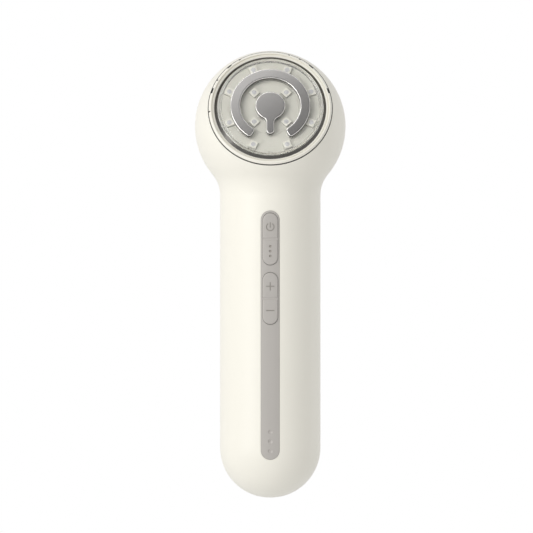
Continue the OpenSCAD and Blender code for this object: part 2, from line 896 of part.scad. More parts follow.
module light_pipe() color("#dfe7ea", 0.6) {
    translate([-pipe_bar_w / 2, pipe_bar_y - pipe_bar_t, dimple_z - pipe_bar_w / 2])
        cube([pipe_bar_w, pipe_bar_t, 2 * dimple_pitch + pipe_bar_w]);
    for (z = dimple_heights)
        rod_y(pipe_r, 0, z, pipe_bar_y - pipe_bar_t, 3 * fit - strip_under(z - pipe_r));
    for (i = [0.5, 1.5])
        rod_y(pipe_peg_r, 0, dimple_z + i * dimple_pitch, pipe_bar_y, board_front);
}

module rf_transformer() {
    core_w = 11;
    core_h = 8;
    base_t = 0.8;
    core_front = 0.43 - sqrt(pow(inner_r, 2) - pow(core_w / 2, 2));
    core_back = board_front - base_t / 2;
    coil_r = 2.7;
    coil_gap = 0.9;
    z = (low_screw_z + high_screw_z) / 2;
    color("#d8c27a") translate([-core_w / 2, board_front - base_t, z - core_h / 2])
        cube([core_w, base_t, core_h]);
    color("#4a4644") difference() {
        translate([-core_w / 2, core_front, z - core_h / 2 + 1])
            cube([core_w, core_back - core_front, core_h - 2]);
        rod_y(coil_r + coil_gap, 0, z, core_front - over, core_back);
    }
    color("#b5653a") rod_y(coil_r, 0, z, core_front + 0.2, core_back);
}

module handle_chassis() color(grey_plastic) {
    saddle_heights = [cell_z + 8, cell_z + cell_l / 2, cell_z + cell_l - 8];
    difference() {
        union() {
            translate([-chassis_w / 2, plate_front, chassis_bottom])
                cube([chassis_w, chassis_t, chassis_top - chassis_bottom]);
            for (z = screw_heights) rod_y(chassis_boss_r, 0, z, -boss_face, plate_front);
            for (side = [-1, 1], z = board_screw_heights)
                rod_y(standoff_r, side * board_screw_x, z, board_back, plate_front);
            for (z = saddle_heights)
                translate([-chassis_w / 2, plate_front, z - saddle_t / 2])
                    cube([chassis_w, cell_y - plate_front - 1, saddle_t]);
            for (z = [cell_z - tab_t - end_wall_t, cell_z + cell_l + tab_t])
                translate([-end_wall_w / 2, plate_front, z])
                    cube([end_wall_w, cell_y + 4 - plate_front, end_wall_t]);
        }
        translate([0, cell_y, cell_z]) cylinder(r = cell_r + fit, h = cell_l);
        for (z = screw_heights)
            rod_y(long_screw_r + thread_fit, 0, z, -boss_face - over, -screw_seat + chassis_screw_l + 0.2);
        for (side = [-1, 1], z = board_screw_heights)
            rod_y(small_screw_r + thread_fit, side * board_screw_x, z, board_back - over, plate_back - 0.1);
        for (z = [cell_z - tab_t, cell_z + cell_l])
            translate([-tab_w / 2 - 0.2, plate_front - over, z - 0.1])
                cube([tab_w + 0.4, chassis_t + over, tab_t + 0.2]);
    }
}

module chassis_screws() color(steel) {
    for (z = screw_heights) {
        rod_y(long_head_r, 0, z, -screw_seat - long_head_t, -screw_seat);
        rod_y(long_screw_r, 0, z, -screw_seat, -screw_seat + chassis_screw_l);
    }
}

module small_screw(x, seat, z) {
    rod_y(small_head_r, x, z, seat - small_head_t, seat);
    rod_y(small_screw_r, x, z, seat, seat + small_screw_l);
}

module small_screws() color(steel) {
    for (side = [-1, 1]) {
        for (z = board_screw_heights) small_screw(side * board_screw_x, board_front, z);
        small_screw(side * charge_screw_x, charge_board_y, charge_screw_z);
        small_screw(strap_x + strap_w / 2, saddle_y - strap_t, motor_z + side * clamp_screw_offset);
    }
}

module battery_cell() color("#6f8fb0") {
    translate([0, cell_y, cell_z]) {
        cylinder(r = cell_r, h = cell_l - cell_button_h);
        cylinder(r = cell_button_r, h = cell_l);
    }
}

module battery_tabs() color("#c9c6bd") {
    for (z = [cell_z - tab_t, cell_z + cell_l])
        translate([-tab_w / 2, board_back, z]) cube([tab_w, cell_y + 4 - board_back, tab_t]);
}

module battery_pads() color("#4b4b4b") {
    for (z = rib_heights)
        translate([0, cell_y, z - pad_h / 2])
            rotate_extrude(start = 90 - pad_sweep / 2, angle = pad_sweep)
                translate([cell_r + pad_gap, 0]) square([pad_t, pad_h]);
}

// flat cable of constant thickness along a path of [y, z] places
module flex_strip(path) {
    last = len(path) - 1;
    sides = [for (i = [0 : last])
        let (
            back = path[max(i - 1, 0)],
            ahead = path[min(i + 1, last)],
            along = (ahead - back) / norm(ahead - back)
        )
        [-along[1], along[0]] * flex_t / 2
    ];
    edge = [for (i = [0 : last]) path[i] + sides[i]];
    other_edge = [for (i = [last : -1 : 0]) path[i] - sides[i]];
    translate([-flex_w / 2, 0, 0]) rotate([90, 0, 90]) linear_extrude(flex_w)
        polygon(concat(edge, other_edge));
}

module head_flex() color("#c98a3c") {
    low_y = board_front - flex_plug_t / 2;
    turn = face_point(flex_head_y, lamp_board_back - 7);
    end = face_point(flex_head_y, lamp_board_back - lamp_plug_t);
    near_end = turn + (end - turn) * 0.25;
    flex_strip([
        [low_y, board_top - 0.5],
        [low_y, board_top + 8],
        [(low_y + turn[0]) / 2, (board_top + 8 + turn[1]) / 2],
        turn + [0.4, -1.8],
        turn,
        near_end,
        end
    ]);
}

module charge_flex() color("#c98a3c") {
    near_y = charge_board_y - flex_plug_t;
    far_y = board_back + flex_plug_t;
    low_z = charge_board_z + 7.5;
    high_z = dimple_z + flex_plug_l / 2;
    flex_strip([
        [near_y, low_z],
        [near_y * 0.75 + far_y * 0.25, low_z],
        [near_y * 0.25 + far_y * 0.75, high_z],
        [far_y, high_z]
    ]);
}

// ---------- charging port ----------

module charge_board() color(board_green) {
    difference() {
        translate([-charge_board_w / 2, charge_board_y, charge_board_z])
            cube([charge_board_w, charge_board_t, charge_board_l]);
        for (side = [-1, 1])
            rod_y(small_hole_r, side * charge_screw_x, charge_screw_z,
                charge_board_y - over, charge_board_y + 2 * over);
    }
    translate([-flex_w / 2 - 0.4, charge_board_y - flex_plug_t, charge_board_z + 6.2])
        cube([flex_w + 0.8, flex_plug_t, 2.6]);
}

module usb_socket() color(steel) {
    translate([0, 0, socket_z]) difference() {
        linear_extrude(socket_l) rotate(90) pill(socket_t, socket_w);
        translate([0, 0, -over]) linear_extrude(socket_l + over - socket_wall)
            rotate(90) pill(socket_t - 2 * socket_wall, socket_w - 2 * socket_wall);
    }
}

module usb_tongue() color(rubber_black) {
    base_l = 1.6;
    top = socket_z + socket_l - socket_wall;
    inside = 2 * socket_wall + fit;
    tongue_w = 6.7;
    tongue_t = 0.7;
    tongue_in = 0.9;
    translate([0, 0, top - base_l]) linear_extrude(base_l)
        rotate(90) pill(socket_t - inside, socket_w - inside);
    translate([-tongue_w / 2, -tongue_t / 2, socket_z + tongue_in])
        cube([tongue_w, tongue_t, top - base_l - socket_z - tongue_in]);
}

// ---------- vibration motor ----------

module motor_can() color("#b9b9b9") {
    difference() {
        union() {
            rod_x(motor_r, motor_x, motor_y, motor_z, motor_l);
            rod_x(nose_r, motor_x + motor_l, motor_y, motor_z, nose_l);
        }
        rod_x(shaft_r + running, motor_x + motor_l + nose_l - shaft_in - 0.2, motor_y, motor_z, shaft_in + over);
    }
}

module motor_boot() color(rubber_black) {
    difference() {
        translate([boot_x, motor_y - boot_w / 2, motor_z - boot_w / 2]) cube([boot_l, boot_w, boot_w]);
        rod_x(motor_r + thread_fit, boot_x - over, motor_y, motor_z, boot_l + 2 * over);
    }
}

module motor_clamp() color("#c9c6bd") {
    front = motor_y - boot_w / 2 - strap_t;
    difference() {
        union() {
            translate([strap_x, front, motor_z - boot_w / 2 - strap_t])
                cube([strap_w, boot_w + strap_t, boot_w + 2 * strap_t]);
            translate([strap_x, saddle_y - strap_t, motor_z - boot_w / 2 - strap_t - foot_l])
                cube([strap_w, strap_t, boot_w + 2 * strap_t + 2 * foot_l]);
        }
        translate([strap_x - over, front + strap_t, motor_z - boot_w / 2])
            cube([strap_w + 2 * over, boot_w + over, boot_w]);
        for (side = [-1, 1])
            rod_y(small_hole_r, strap_x + strap_w / 2, motor_z + side * clamp_screw_offset,
                saddle_y - 2 * strap_t, saddle_y + over);
    }
}

module motor_weight() color("#6c6a66") {
    tip = motor_x + motor_l + nose_l;
    rod_x(shaft_r, tip - shaft_in, motor_y, motor_z, shaft_in + weight_gap + weight_l);
    difference() {
        rod_x(weight_r, tip + weight_gap, motor_y, motor_z, weight_l);
        translate([tip, motor_y - 2 * weight_r, motor_z + weight_flat])
            cube([weight_l + 2 * weight_gap, 4 * weight_r, weight_r]);
    }
}

front_shell();
rear_shell();
head_seal();
head_bezel();
trim_ring();
lens_cover();
arc_electrode();
keyhole_electrode();
electrode_nuts();
led_plate();
leds();
led_board();
temperature_sensor();
head_carrier();
carrier_screws();
strip_panel();
power_mode_key();
level_key();
key_pins();
handle_chassis();
chassis_screws();
small_screws();
main_board();
board_components();
tact_switches();
indicator_leds();
light_pipe();
rf_transformer();
battery_cell();
battery_tabs();
battery_pads();
head_flex();
charge_flex();
charge_board();
usb_socket();
usb_tongue();
port_insert();
motor_can();
motor_boot();
motor_clamp();
motor_weight();
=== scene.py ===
# %% [markdown]
# # A hand-held facial toning device
# A round handle runs into a ball-shaped head. A face on the head, tilted upwards, carries two metal
# electrodes and twelve small lamps under a clear cover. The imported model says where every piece
# lies. This lesson models the pieces that show, with their soft edges and fine gaps, and gives the
# pieces inside their finish.

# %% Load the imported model
import json
import math

import bmesh
import bpy
from mathutils import Matrix, Vector


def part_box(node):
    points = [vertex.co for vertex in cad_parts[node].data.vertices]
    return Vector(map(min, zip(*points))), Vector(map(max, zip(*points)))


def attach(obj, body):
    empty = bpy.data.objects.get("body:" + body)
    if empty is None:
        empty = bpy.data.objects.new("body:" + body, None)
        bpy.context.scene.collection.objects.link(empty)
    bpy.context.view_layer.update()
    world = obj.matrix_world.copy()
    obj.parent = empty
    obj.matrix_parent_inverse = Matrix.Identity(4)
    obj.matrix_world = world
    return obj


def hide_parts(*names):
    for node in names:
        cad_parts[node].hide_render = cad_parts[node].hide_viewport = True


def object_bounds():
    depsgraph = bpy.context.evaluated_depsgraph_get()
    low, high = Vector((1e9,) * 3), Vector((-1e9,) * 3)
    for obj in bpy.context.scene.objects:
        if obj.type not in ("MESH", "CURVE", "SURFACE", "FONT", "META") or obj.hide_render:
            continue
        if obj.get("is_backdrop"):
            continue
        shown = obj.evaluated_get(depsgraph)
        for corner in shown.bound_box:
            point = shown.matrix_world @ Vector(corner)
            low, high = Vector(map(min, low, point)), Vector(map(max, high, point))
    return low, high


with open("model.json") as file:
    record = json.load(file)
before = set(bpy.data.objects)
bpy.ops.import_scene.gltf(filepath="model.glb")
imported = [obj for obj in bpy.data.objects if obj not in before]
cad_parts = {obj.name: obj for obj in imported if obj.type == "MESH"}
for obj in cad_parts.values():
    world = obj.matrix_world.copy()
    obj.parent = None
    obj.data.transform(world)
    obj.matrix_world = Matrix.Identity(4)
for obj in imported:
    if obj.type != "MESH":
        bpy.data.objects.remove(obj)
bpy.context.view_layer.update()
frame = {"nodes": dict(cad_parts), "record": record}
nodes = frame["nodes"]

# %% [markdown]
# ## Measures
# Everything is drawn in millimetres and made metres when it is finished. Sizes that the packed
# model has are read from it, so that each new piece fits its neighbours.

# %% Sizes of the body and the face
MM = 0.001
mounts = {mount["name"]: mount for mount in frame["record"]["mounts"]}


def box_of(node):
    low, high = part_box(node)
    return low / MM, high / MM


handle_r = mounts["stand_seat"]["dims"]["r_mm"]
_, rear_high = box_of("rear_shell")
head_r = rear_high.x
head_z = rear_high.z - head_r
head_centre = Vector((0, 0, head_z))
face_axis = Vector(mounts["treatment_face"]["axis"]).normalized()
face_tilt = math.asin(face_axis.z)
neck_r = 13.0
neck_x = handle_r + neck_r
neck_drop = math.sqrt((head_r + neck_r) ** 2 - neck_x ** 2)
neck_z = head_z - neck_drop
wall = 2.2


def reach(node):
    """A node's lowest and highest place along the face's axis, its least and largest radius."""
    places = [vertex.co / MM - head_centre for vertex in nodes[node].data.vertices]
    heights = [place.dot(face_axis) for place in places]
    radii = [(place - place.dot(face_axis) * face_axis).length for place in places]
    return min(heights), max(heights), min(radii), max(radii)


seam_h, seal_top, seal_in_r, seal_r = reach("head_seal")
shoulder_h, _, ring_in_r, ring_r = reach("trim_ring")
_, bezel_h, _, _ = reach("head_bezel")
_, cover_h, _, cover_r = reach("lens_cover")
_, plate_h, _, plate_r = reach("led_plate")
stud_end, electrode_h, _, arc_out_r = reach("arc_electrode")
print("handle", handle_r, "head", round(head_r, 2), "at", round(head_z, 2))

# %% [markdown]
# ## Tools for drawing
# Blender's operators act on whatever is selected, so each helper starts by clearing the selection.
# Faces and edges are then picked by where they lie, as a hand does with the mouse.

# %% Pick things and name steps
MERGE, SAME_LEVEL, SAME_SPOT = 0.0005, 0.001, 0.0001


def clear():
    if bpy.context.object and bpy.context.object.mode != "OBJECT":
        bpy.ops.object.mode_set(mode="OBJECT")
    bpy.ops.object.select_all(action="DESELECT")


def hold(piece):
    clear()
    piece.select_set(True)
    bpy.context.view_layer.objects.active = piece
    return piece


def pick(piece, kind, test):
    """Edit mode with the faces, edges or vertices selected that pass the test."""
    hold(piece)
    bpy.ops.object.mode_set(mode="EDIT")
    bpy.ops.mesh.select_mode(type=kind)
    bpy.ops.mesh.select_all(action="DESELECT")
    mesh = bmesh.from_edit_mesh(piece.data)
    for item in {"VERT": mesh.verts, "EDGE": mesh.edges, "FACE": mesh.faces}[kind]:
        item.select_set(test(item))
    mesh.select_flush_mode()
    bmesh.update_edit_mesh(piece.data)


def leave(piece):
    """Back to object mode, with the piece that was worked on."""
    bpy.ops.object.mode_set(mode="OBJECT")
    return piece


def tidy(piece):
    """Merges what lies in one place, drops loose bits and turns every face outwards."""
    pick(piece, "VERT", lambda vertex: True)
    bpy.ops.mesh.remove_doubles(threshold=MERGE)
    bpy.ops.mesh.delete_loose()
    bpy.ops.mesh.select_all(action="SELECT")
    bpy.ops.mesh.normals_make_consistent(inside=False)
    return leave(piece)


# %% [markdown]
# Outlines are lists of corners. A round stretch is an arc of a few degrees a step.

# %% Outlines
DEGREES_A_STEP = 6


def arc(centre, radius, start, end, step=DEGREES_A_STEP):
    """Points on an arc, its angles in degrees, counted from the right and upwards."""
    count = max(2, math.ceil(abs(end - start) / step))
    angles = [math.radians(start + (end - start) * i / count) for i in range(count + 1)]
    return [(centre[0] + radius * math.cos(a), centre[1] + radius * math.sin(a)) for a in angles]


def pill(width, length):
    """An upright outline with straight sides and round ends."""
    rise = (length - width) / 2
    return arc((0, rise), width / 2, 0, 180) + arc((0, -rise), width / 2, 180, 360)


def rounded(corners):
    """An outline from (x, y, radius) corners, each turned with an arc of its radius."""
    points = []
    befores, afters = corners[-1:] + corners[:-1], corners[1:] + corners[:1]
    for before, corner, after in zip(befores, corners, afters):
        here = Vector(corner[:2])
        back = (Vector(before[:2]) - here).normalized()
        ahead = (Vector(after[:2]) - here).normalized()
        if corner[2] == 0:
            points.append(tuple(here))
            continue
        half = back.angle(ahead) / 2
        centre = here + (back + ahead).normalized() * corner[2] / math.sin(half)
        foot = here + back * corner[2] / math.tan(half)
        start = math.degrees(math.atan2(*(foot - centre).yx))
        turn = 180 - math.degrees(2 * half)
        side = 1 if back.cross(ahead) < 0 else -1
        points += arc(centre, corner[2], start, start + side * turn, turn / 4)
    return points


def sheet(name, corners):
    """A filled outline, lying flat: a disc with as many corners, which are then moved."""
    clear()
    bpy.ops.mesh.primitive_circle_add(vertices=len(corners), radius=1, fill_type="NGON")
    piece = bpy.context.object
    piece.name = name
    for vertex, corner in zip(piece.data.vertices, corners):
        vertex.co = (*corner, 0)
    return piece


# %% [markdown]
# Two ways lead from an outline to a body. A turned piece is an outline stood upright and spun round
# the Z axis. A moulded piece is an outline pulled up, with its top edge bevelled and its top face
# inset a few times, so that it can be bent later without creases.

# %% Turn and pull
UPRIGHT = Matrix.Rotation(math.radians(90), 4, "X")


def turned(name, corners, steps=144, angle=360):
    piece = sheet(name, corners)
    piece.data.transform(UPRIGHT)
    pick(piece, "FACE", lambda face: True)
    if angle == 360:
        bpy.ops.mesh.delete(type="ONLY_FACE")
        bpy.ops.mesh.select_all(action="SELECT")
    bpy.ops.mesh.spin(steps=steps, angle=math.radians(angle), center=(0, 0, 0), axis=(0, 0, 1))
    return tidy(piece)


def pulled(name, corners, bottom, top):
    piece = sheet(name, corners)
    piece.data.transform(Matrix.Translation((0, 0, bottom)))
    pick(piece, "FACE", lambda face: True)
    bpy.ops.mesh.extrude_region_move(TRANSFORM_OT_translate={"value": (0, 0, top - bottom)})
    return tidy(piece)


def at_level(level):
    """A test for edges and faces that lie wholly at one height."""
    return lambda item: all(abs(vertex.co.z - level) < SAME_LEVEL for vertex in item.verts)


def bevelled(piece, test, radius, segments=3, clamp=False):
    """Rounds the edges that pass the test."""
    pick(piece, "EDGE", test)
    bpy.ops.mesh.bevel(offset=radius, segments=segments, affect="EDGES", clamp_overlap=clamp)
    return leave(piece)


def soften(piece, level, radius, segments=4):
    """Rounds the edges that lie at one height."""
    return bevelled(piece, at_level(level), radius, segments, clamp=True)


def ripple(piece, level, widths):
    """Insets the faces at one height again and again, which lays even rings of faces."""
    pick(piece, "FACE", at_level(level))
    for width in widths:
        bpy.ops.mesh.inset(thickness=width, use_even_offset=True)
    return leave(piece)


def combine(piece, tool, operation="DIFFERENCE", finish_from="INDEX"):
    """Cuts a tool out of a piece, or adds it, and drops the tool."""
    hold(piece)
    modifier = piece.modifiers.new("combine", "BOOLEAN")
    modifier.operation = operation
    modifier.solver = "EXACT"
    modifier.material_mode = finish_from
    modifier.object = tool
    bpy.ops.object.modifier_apply(modifier=modifier.name)
    bpy.data.objects.remove(tool)
    return piece


def joined(pieces):
    hold(pieces[0])
    for piece in pieces[1:]:
        piece.select_set(True)
    if len(pieces) > 1:
        bpy.ops.object.join()
    return pieces[0]


def moved(piece, place):
    """The piece itself, its mesh moved by a matrix."""
    piece.data.transform(place)
    return piece


def copied(piece, place):
    """A copy with its own mesh, moved by a matrix."""
    twin = piece.copy()
    twin.data = piece.data.copy()
    twin.data.transform(place)
    bpy.context.collection.objects.link(twin)
    return twin


# %% [markdown]
# ## Finishes
# Each material is one Principled shader. What several of them share is a node group: the grain of a
# mould, and the fine lines of brushing. A group gives out only values that change over the surface.
# Colours and numbers that stay the same are set on the shader itself.

# %% Shared node groups
GRAIN_SCALE, DRIFT_SCALE, LINE_SCALE, SMUDGE_SCALE = 4000, 38, 9000, 160


def put(node, **values):
    """Sets inputs of a node by name, with _ for a space."""
    for label, value in values.items():
        node.inputs[label.replace("_", " ")].default_value = value
    return node


def add(tree, kind, **values):
    """A new shader node with some of its inputs set."""
    return put(tree.nodes.new("ShaderNode" + kind), **values)


def new_group(name, inputs, outputs):
    group = bpy.data.node_groups.new(name, "ShaderNodeTree")
    for label, kind, value in inputs:
        item = group.interface.new_socket(label, in_out="INPUT", socket_type=kind)
        if value is not None:
            item.default_value = value
    for label in outputs:
        group.interface.new_socket(label, in_out="OUTPUT", socket_type="NodeSocketFloat")
    return group, group.nodes.new("NodeGroupInput"), group.nodes.new("NodeGroupOutput")


def noise(group, place, scale, detail):
    """The output of a noise texture, whose scale is a number or another output."""
    texture = add(group, "TexNoise", Detail=detail)
    group.links.new(place, texture.inputs["Vector"])
    if isinstance(scale, int):
        put(texture, Scale=scale)
    else:
        group.links.new(scale, texture.inputs["Scale"])
    return texture.outputs["Fac"]


def mould_grain():
    """Grain: the fine pebbles of an etched mould. Drift: a slow change across the part."""
    group, given, result = new_group(
        "mould_grain",
        [("Place", "NodeSocketVector", None), ("Scale", "NodeSocketFloat", GRAIN_SCALE)],
        ["Grain", "Drift"],
    )
    place, scale = given.outputs["Place"], given.outputs["Scale"]
    group.links.new(noise(group, place, scale, detail=3), result.inputs["Grain"])
    group.links.new(noise(group, place, DRIFT_SCALE, detail=2), result.inputs["Drift"])
    return group


def brush_lines():
    """Line: streaks along one direction, drawn out by Stretch. Smudge: soft cloudy patches."""
    group, given, result = new_group(
        "brush_lines",
        [("Place", "NodeSocketVector", None), ("Scale", "NodeSocketFloat", LINE_SCALE),
         ("Stretch", "NodeSocketVector", (1, 0.03, 1))],
        ["Line", "Smudge"],
    )
    place, scale = given.outputs["Place"], given.outputs["Scale"]
    squeeze = add(group, "VectorMath")
    squeeze.operation = "MULTIPLY"
    group.links.new(place, squeeze.inputs[0])
    group.links.new(given.outputs["Stretch"], squeeze.inputs[1])
    line = noise(group, squeeze.outputs["Vector"], scale, detail=4)
    group.links.new(line, result.inputs["Line"])
    group.links.new(noise(group, place, SMUDGE_SCALE, detail=2), result.inputs["Smudge"])
    return group


GRAIN = mould_grain()
BRUSH = brush_lines()
print("node groups:", [group.name for group in bpy.data.node_groups])

# %% [markdown]
# A finish places one group and spreads its outputs. The slow output shifts the colour between two
# close tones and moves the roughness a little; on brushed metal the lines move the roughness. The
# fine output becomes a bump of a few thousandths of a millimetre. That keeps a plain surface from
# looking like a flat colour.

# %% One finish


def finish(name, colour, rough, metal=0.0, group=GRAIN, scale=GRAIN_SCALE, tone=0.04,
           spread=0.06, bump=0.004, bump_strength=0.35, stretch=None, coat=0.0, **sockets):
    """A Principled material: its tones, roughness and bump vary with the outputs of a group."""
    material = bpy.data.materials.new(name)
    material.use_nodes = True
    tree = material.node_tree
    shader = put(tree.nodes["Principled BSDF"], Metallic=metal, Coat_Weight=coat, **sockets)
    link = tree.links.new
    pattern = tree.nodes.new("ShaderNodeGroup")
    pattern.node_tree = group
    put(pattern, Scale=scale)
    if stretch:
        put(pattern, Stretch=stretch)
    link(add(tree, "TexCoord").outputs["Object"], pattern.inputs["Place"])
    fine, slow = pattern.outputs[0], pattern.outputs[1]
    tones = add(tree, "Mix")
    tones.data_type = "RGBA"
    put(tones, A=(*[c * (1 - tone) for c in colour], 1),
        B=(*[min(1, c * (1 + tone)) for c in colour], 1))
    link(slow, tones.inputs["Factor"])
    link(tones.outputs["Result"], shader.inputs["Base Color"])
    gloss = add(tree, "MapRange", To_Min=max(0, rough - spread), To_Max=min(1, rough + spread))
    link(fine if group is BRUSH else slow, gloss.inputs["Value"])
    link(gloss.outputs["Result"], shader.inputs["Roughness"])
    relief = add(tree, "Bump", Distance=bump * MM, Strength=bump_strength)
    link(fine, relief.inputs["Height"])
    link(relief.outputs["Normal"], shader.inputs["Normal"])
    return material


cream = finish("cream_plastic", (0.905, 0.878, 0.788), 0.42, tone=0.006, scale=3500)
taupe = finish("taupe_plastic", (0.475, 0.45, 0.42), 0.40, tone=0.012, scale=3500)
# The darker taupe of the sunk key marks is painted shade in their hollows.
key_mark_painted_shade = finish("taupe_engraved", (0.33, 0.308, 0.275), 0.5, tone=0.02)
metal = finish("satin_steel", (0.115, 0.112, 0.109), 0.18, metal=1.0, group=BRUSH, tone=0.03,
               spread=0.03, bump=0.0015, stretch=(0.05, 1, 1))
# The bevel's bright colour is a painted highlight; its low roughness is the real polish.
edge_painted_highlight = finish("polished_edge", (0.80, 0.785, 0.765), 0.10, metal=1.0, group=BRUSH, tone=0.02,
                    bump=0.0005)
# The electrodes' side walls are darkened: painted shade.
side_painted_shade = finish("electrode_side", (0.14, 0.135, 0.13), 0.4, metal=0.6, group=BRUSH, tone=0.1)
dark_metal = finish("dark_polished_metal", (0.1, 0.096, 0.09), 0.2, metal=1.0, group=BRUSH,
                    tone=0.04, bump=0.0008)
seal_rubber = finish("black_seal", (0.035, 0.034, 0.032), 0.7, scale=6000)
lamp_body = finish("lamp_white", (0.68, 0.67, 0.61), 0.35, tone=0.01)
lamp_lens = finish("lamp_lens", (0.47, 0.47, 0.485), 0.3, tone=0.02)
# The plate's cream is darkened here: painted shade from the cover and the electrodes above it.
plate_cream = finish("plate_cream", (0.58, 0.572, 0.516), 0.4, tone=0.01)
bright_steel = finish("bright_steel", (0.62, 0.61, 0.59), 0.28, metal=1.0, group=BRUSH, tone=0.04,
                      bump=0.001)
black_plastic = finish("black_plastic", (0.025, 0.026, 0.029), 0.45, tone=0.15)
gold_contact = finish("gold_contact", (0.83, 0.62, 0.28), 0.25, metal=1.0, group=BRUSH, tone=0.04)

# %% [markdown]
# The pieces inside are hidden when the device is whole, but each still gets the finish that its
# material has: solder mask over copper, drawn tin, foam, moulded nylon.

# %% Inner finishes
INSIDE = {
    "black_seal": seal_rubber,
    "bright_steel": bright_steel,
    "black_plastic": black_plastic,
    "grey_nylon": finish("grey_nylon", (0.18, 0.18, 0.185), 0.55, scale=2500, tone=0.08, bump=0.01),
    "white_board": finish("white_board", (0.8, 0.8, 0.76), 0.3, scale=900, tone=0.02, coat=0.4),
    "green_board": finish("green_board", (0.02, 0.14, 0.055), 0.3, scale=900, tone=0.3, bump=0.02,
                          coat=0.4),
    "nickel_strip": finish("nickel_strip", (0.66, 0.64, 0.58), 0.3, metal=1.0, group=BRUSH,
                           tone=0.05),
    "amber_film": finish("amber_film", (0.62, 0.27, 0.05), 0.25, scale=1500, tone=0.1, coat=0.3),
    "wound_core": finish("wound_core", (0.42, 0.13, 0.045), 0.35, metal=0.6, group=BRUSH,
                         scale=14000, tone=0.25, bump=0.05, stretch=(0.02, 1, 1)),
    "blue_sleeve": finish("blue_sleeve", (0.05, 0.13, 0.33), 0.3, scale=700, tone=0.08, coat=0.3),
    "heavy_metal": finish("heavy_metal", (0.30, 0.29, 0.27), 0.4, metal=1.0, group=BRUSH, tone=0.1,
                          bump=0.003),
}
print("materials:", len(bpy.data.materials))

# %% [markdown]
# The cover and the light guide are clear mouldings. Real glass blocks a lamp's direct light in a
# path tracer, so shadow rays pass it, and the plate under it is lit as through thin acrylic.

# %% Clear plastic
ACRYLIC_INDEX = 1.49


def clear_plastic(name, tint, rough):
    material = finish(name, tint, rough, tone=0.003, spread=0.01, bump=0.0004, bump_strength=0.1,
                      Transmission_Weight=1.0, IOR=ACRYLIC_INDEX)
    tree = material.node_tree
    shader = tree.nodes["Principled BSDF"]
    output = tree.nodes["Material Output"]
    rays, choice = add(tree, "LightPath"), add(tree, "MixShader")
    open_way = add(tree, "BsdfTransparent", Color=(*tint, 1))
    link = tree.links.new
    link(rays.outputs["Is Shadow Ray"], choice.inputs["Fac"])
    link(shader.outputs["BSDF"], choice.inputs[1])
    link(open_way.outputs["BSDF"], choice.inputs[2])
    link(choice.outputs["Shader"], output.inputs["Surface"])
    return material


clear_cover = clear_plastic("clear_cover", (0.97, 0.968, 0.955), 0.03)
clear_guide = clear_plastic("clear_guide", (0.92, 0.94, 0.95), 0.12)

# %% [markdown]
# ## Finishing a piece
# A finished piece is scaled to metres, set in its place inside its own mesh, smoothed, and hung on
# the body that carries it. It takes the place of one imported node, which is hidden. A piece of
# the face is drawn round the Z axis, and the face's place then tips it forward.

# %% Settle a piece
ON_FACE = Matrix.Translation(head_centre) @ Matrix.Rotation(math.pi / 2 - face_tilt, 4, "X")
AS_DRAWN = Matrix.Identity(4)
SLOT_OF = {part["node"]: part["material_slot"] for part in frame["record"]["subparts"]}


def settle(piece, material, replaced, place=AS_DRAWN, body="casing", crease=34):
    piece.data.transform(Matrix.Scale(MM, 4) @ place)
    if material.name not in piece.data.materials:
        piece.data.materials.append(material)
    hold(piece)
    bpy.ops.object.shade_smooth_by_angle(angle=math.radians(crease))
    modifier = piece.modifiers.new("weighted", "WEIGHTED_NORMAL")
    modifier.keep_sharp = True
    bpy.ops.object.modifier_apply(modifier=modifier.name)
    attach(piece, body)
    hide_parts(replaced)
    print(piece.name, "has", len(piece.data.polygons), "faces")


# %% [markdown]
# ## Casing
# The casing is two halves of one turned body. Its outline is three arcs and a line: the round end,
# the straight handle, the hollow blend of the neck and the ball. Spinning the section of the wall
# through half a turn gives each half its true thickness in one step.

# %% Two half shells
FLAT = math.degrees(math.atan2(neck_drop, neck_x))
HANDLE_RINGS, HALF_STEPS = 16, 120
END_STEP, NECK_STEP, HEAD_STEP = 4, 3, 2.5


def body_line(inset):
    """The casing's outline from its lowest to its highest point, drawn in by inset."""
    low = arc((0, handle_r), handle_r - inset, -90, 0, END_STEP)
    rungs = [(handle_r - inset, handle_r + (neck_z - handle_r) * i / HANDLE_RINGS)
             for i in range(1, HANDLE_RINGS)]
    neck = arc((neck_x, neck_z), neck_r + inset, 180, 180 - FLAT, NECK_STEP)
    head = arc((0, head_z), head_r - inset, -FLAT, 90, HEAD_STEP)
    return low + rungs + neck + head[1:]


section = body_line(0) + list(reversed(body_line(wall)))
casing_front = turned("casing_front", section, HALF_STEPS, 180)
casing_rear = copied(casing_front, Matrix.Rotation(math.pi, 4, "Z"))
casing_rear.name = "casing_rear"
print("half shell:", len(casing_front.data.vertices), "vertices")

# %% [markdown]
# Where the halves meet, a moulded part shows a hair-thin line. A thin blade that follows the
# outline, a fifth of a millimetre deep, cuts it into both rims, so the line is a real step.

# %% Parting line
PART_DEPTH, PART_WIDTH, PART_REACH = 0.2, 0.16, 1


def parting_blade():
    edge = body_line(PART_DEPTH)[1:-1] + list(reversed(body_line(-PART_REACH)[1:-1]))
    right = moved(pulled("blade", edge, -PART_WIDTH / 2, PART_WIDTH / 2), UPRIGHT)
    return joined([right, tidy(copied(right, Matrix.Scale(-1, 4, (1, 0, 0))))])


for half in (casing_front, casing_rear):
    combine(half, parting_blade())

# %% [markdown]
# The front half is cut off square to the face's axis, where the bezel sits, after a collar has been
# added inside it for the bezel's skirt. The cutter is turned about that axis, and its rim leans
# outwards a little, so the cut leaves a small chamfer beside the dark seal.

# %% Opening for the face
COLLAR_DEPTH, COLLAR_TOP, COLLAR_R, COLLAR_WALL = 4.5, 0.4, 24.8, 1
SEAM_CHAMFER, CHAMFER_SLOPE, RIM_DROP, HAIR = 0.02, 0.53, 0.24, 0.01


def ball_r(height):
    """The ball's radius at a height along the face's axis."""
    return math.sqrt(head_r ** 2 - height ** 2)


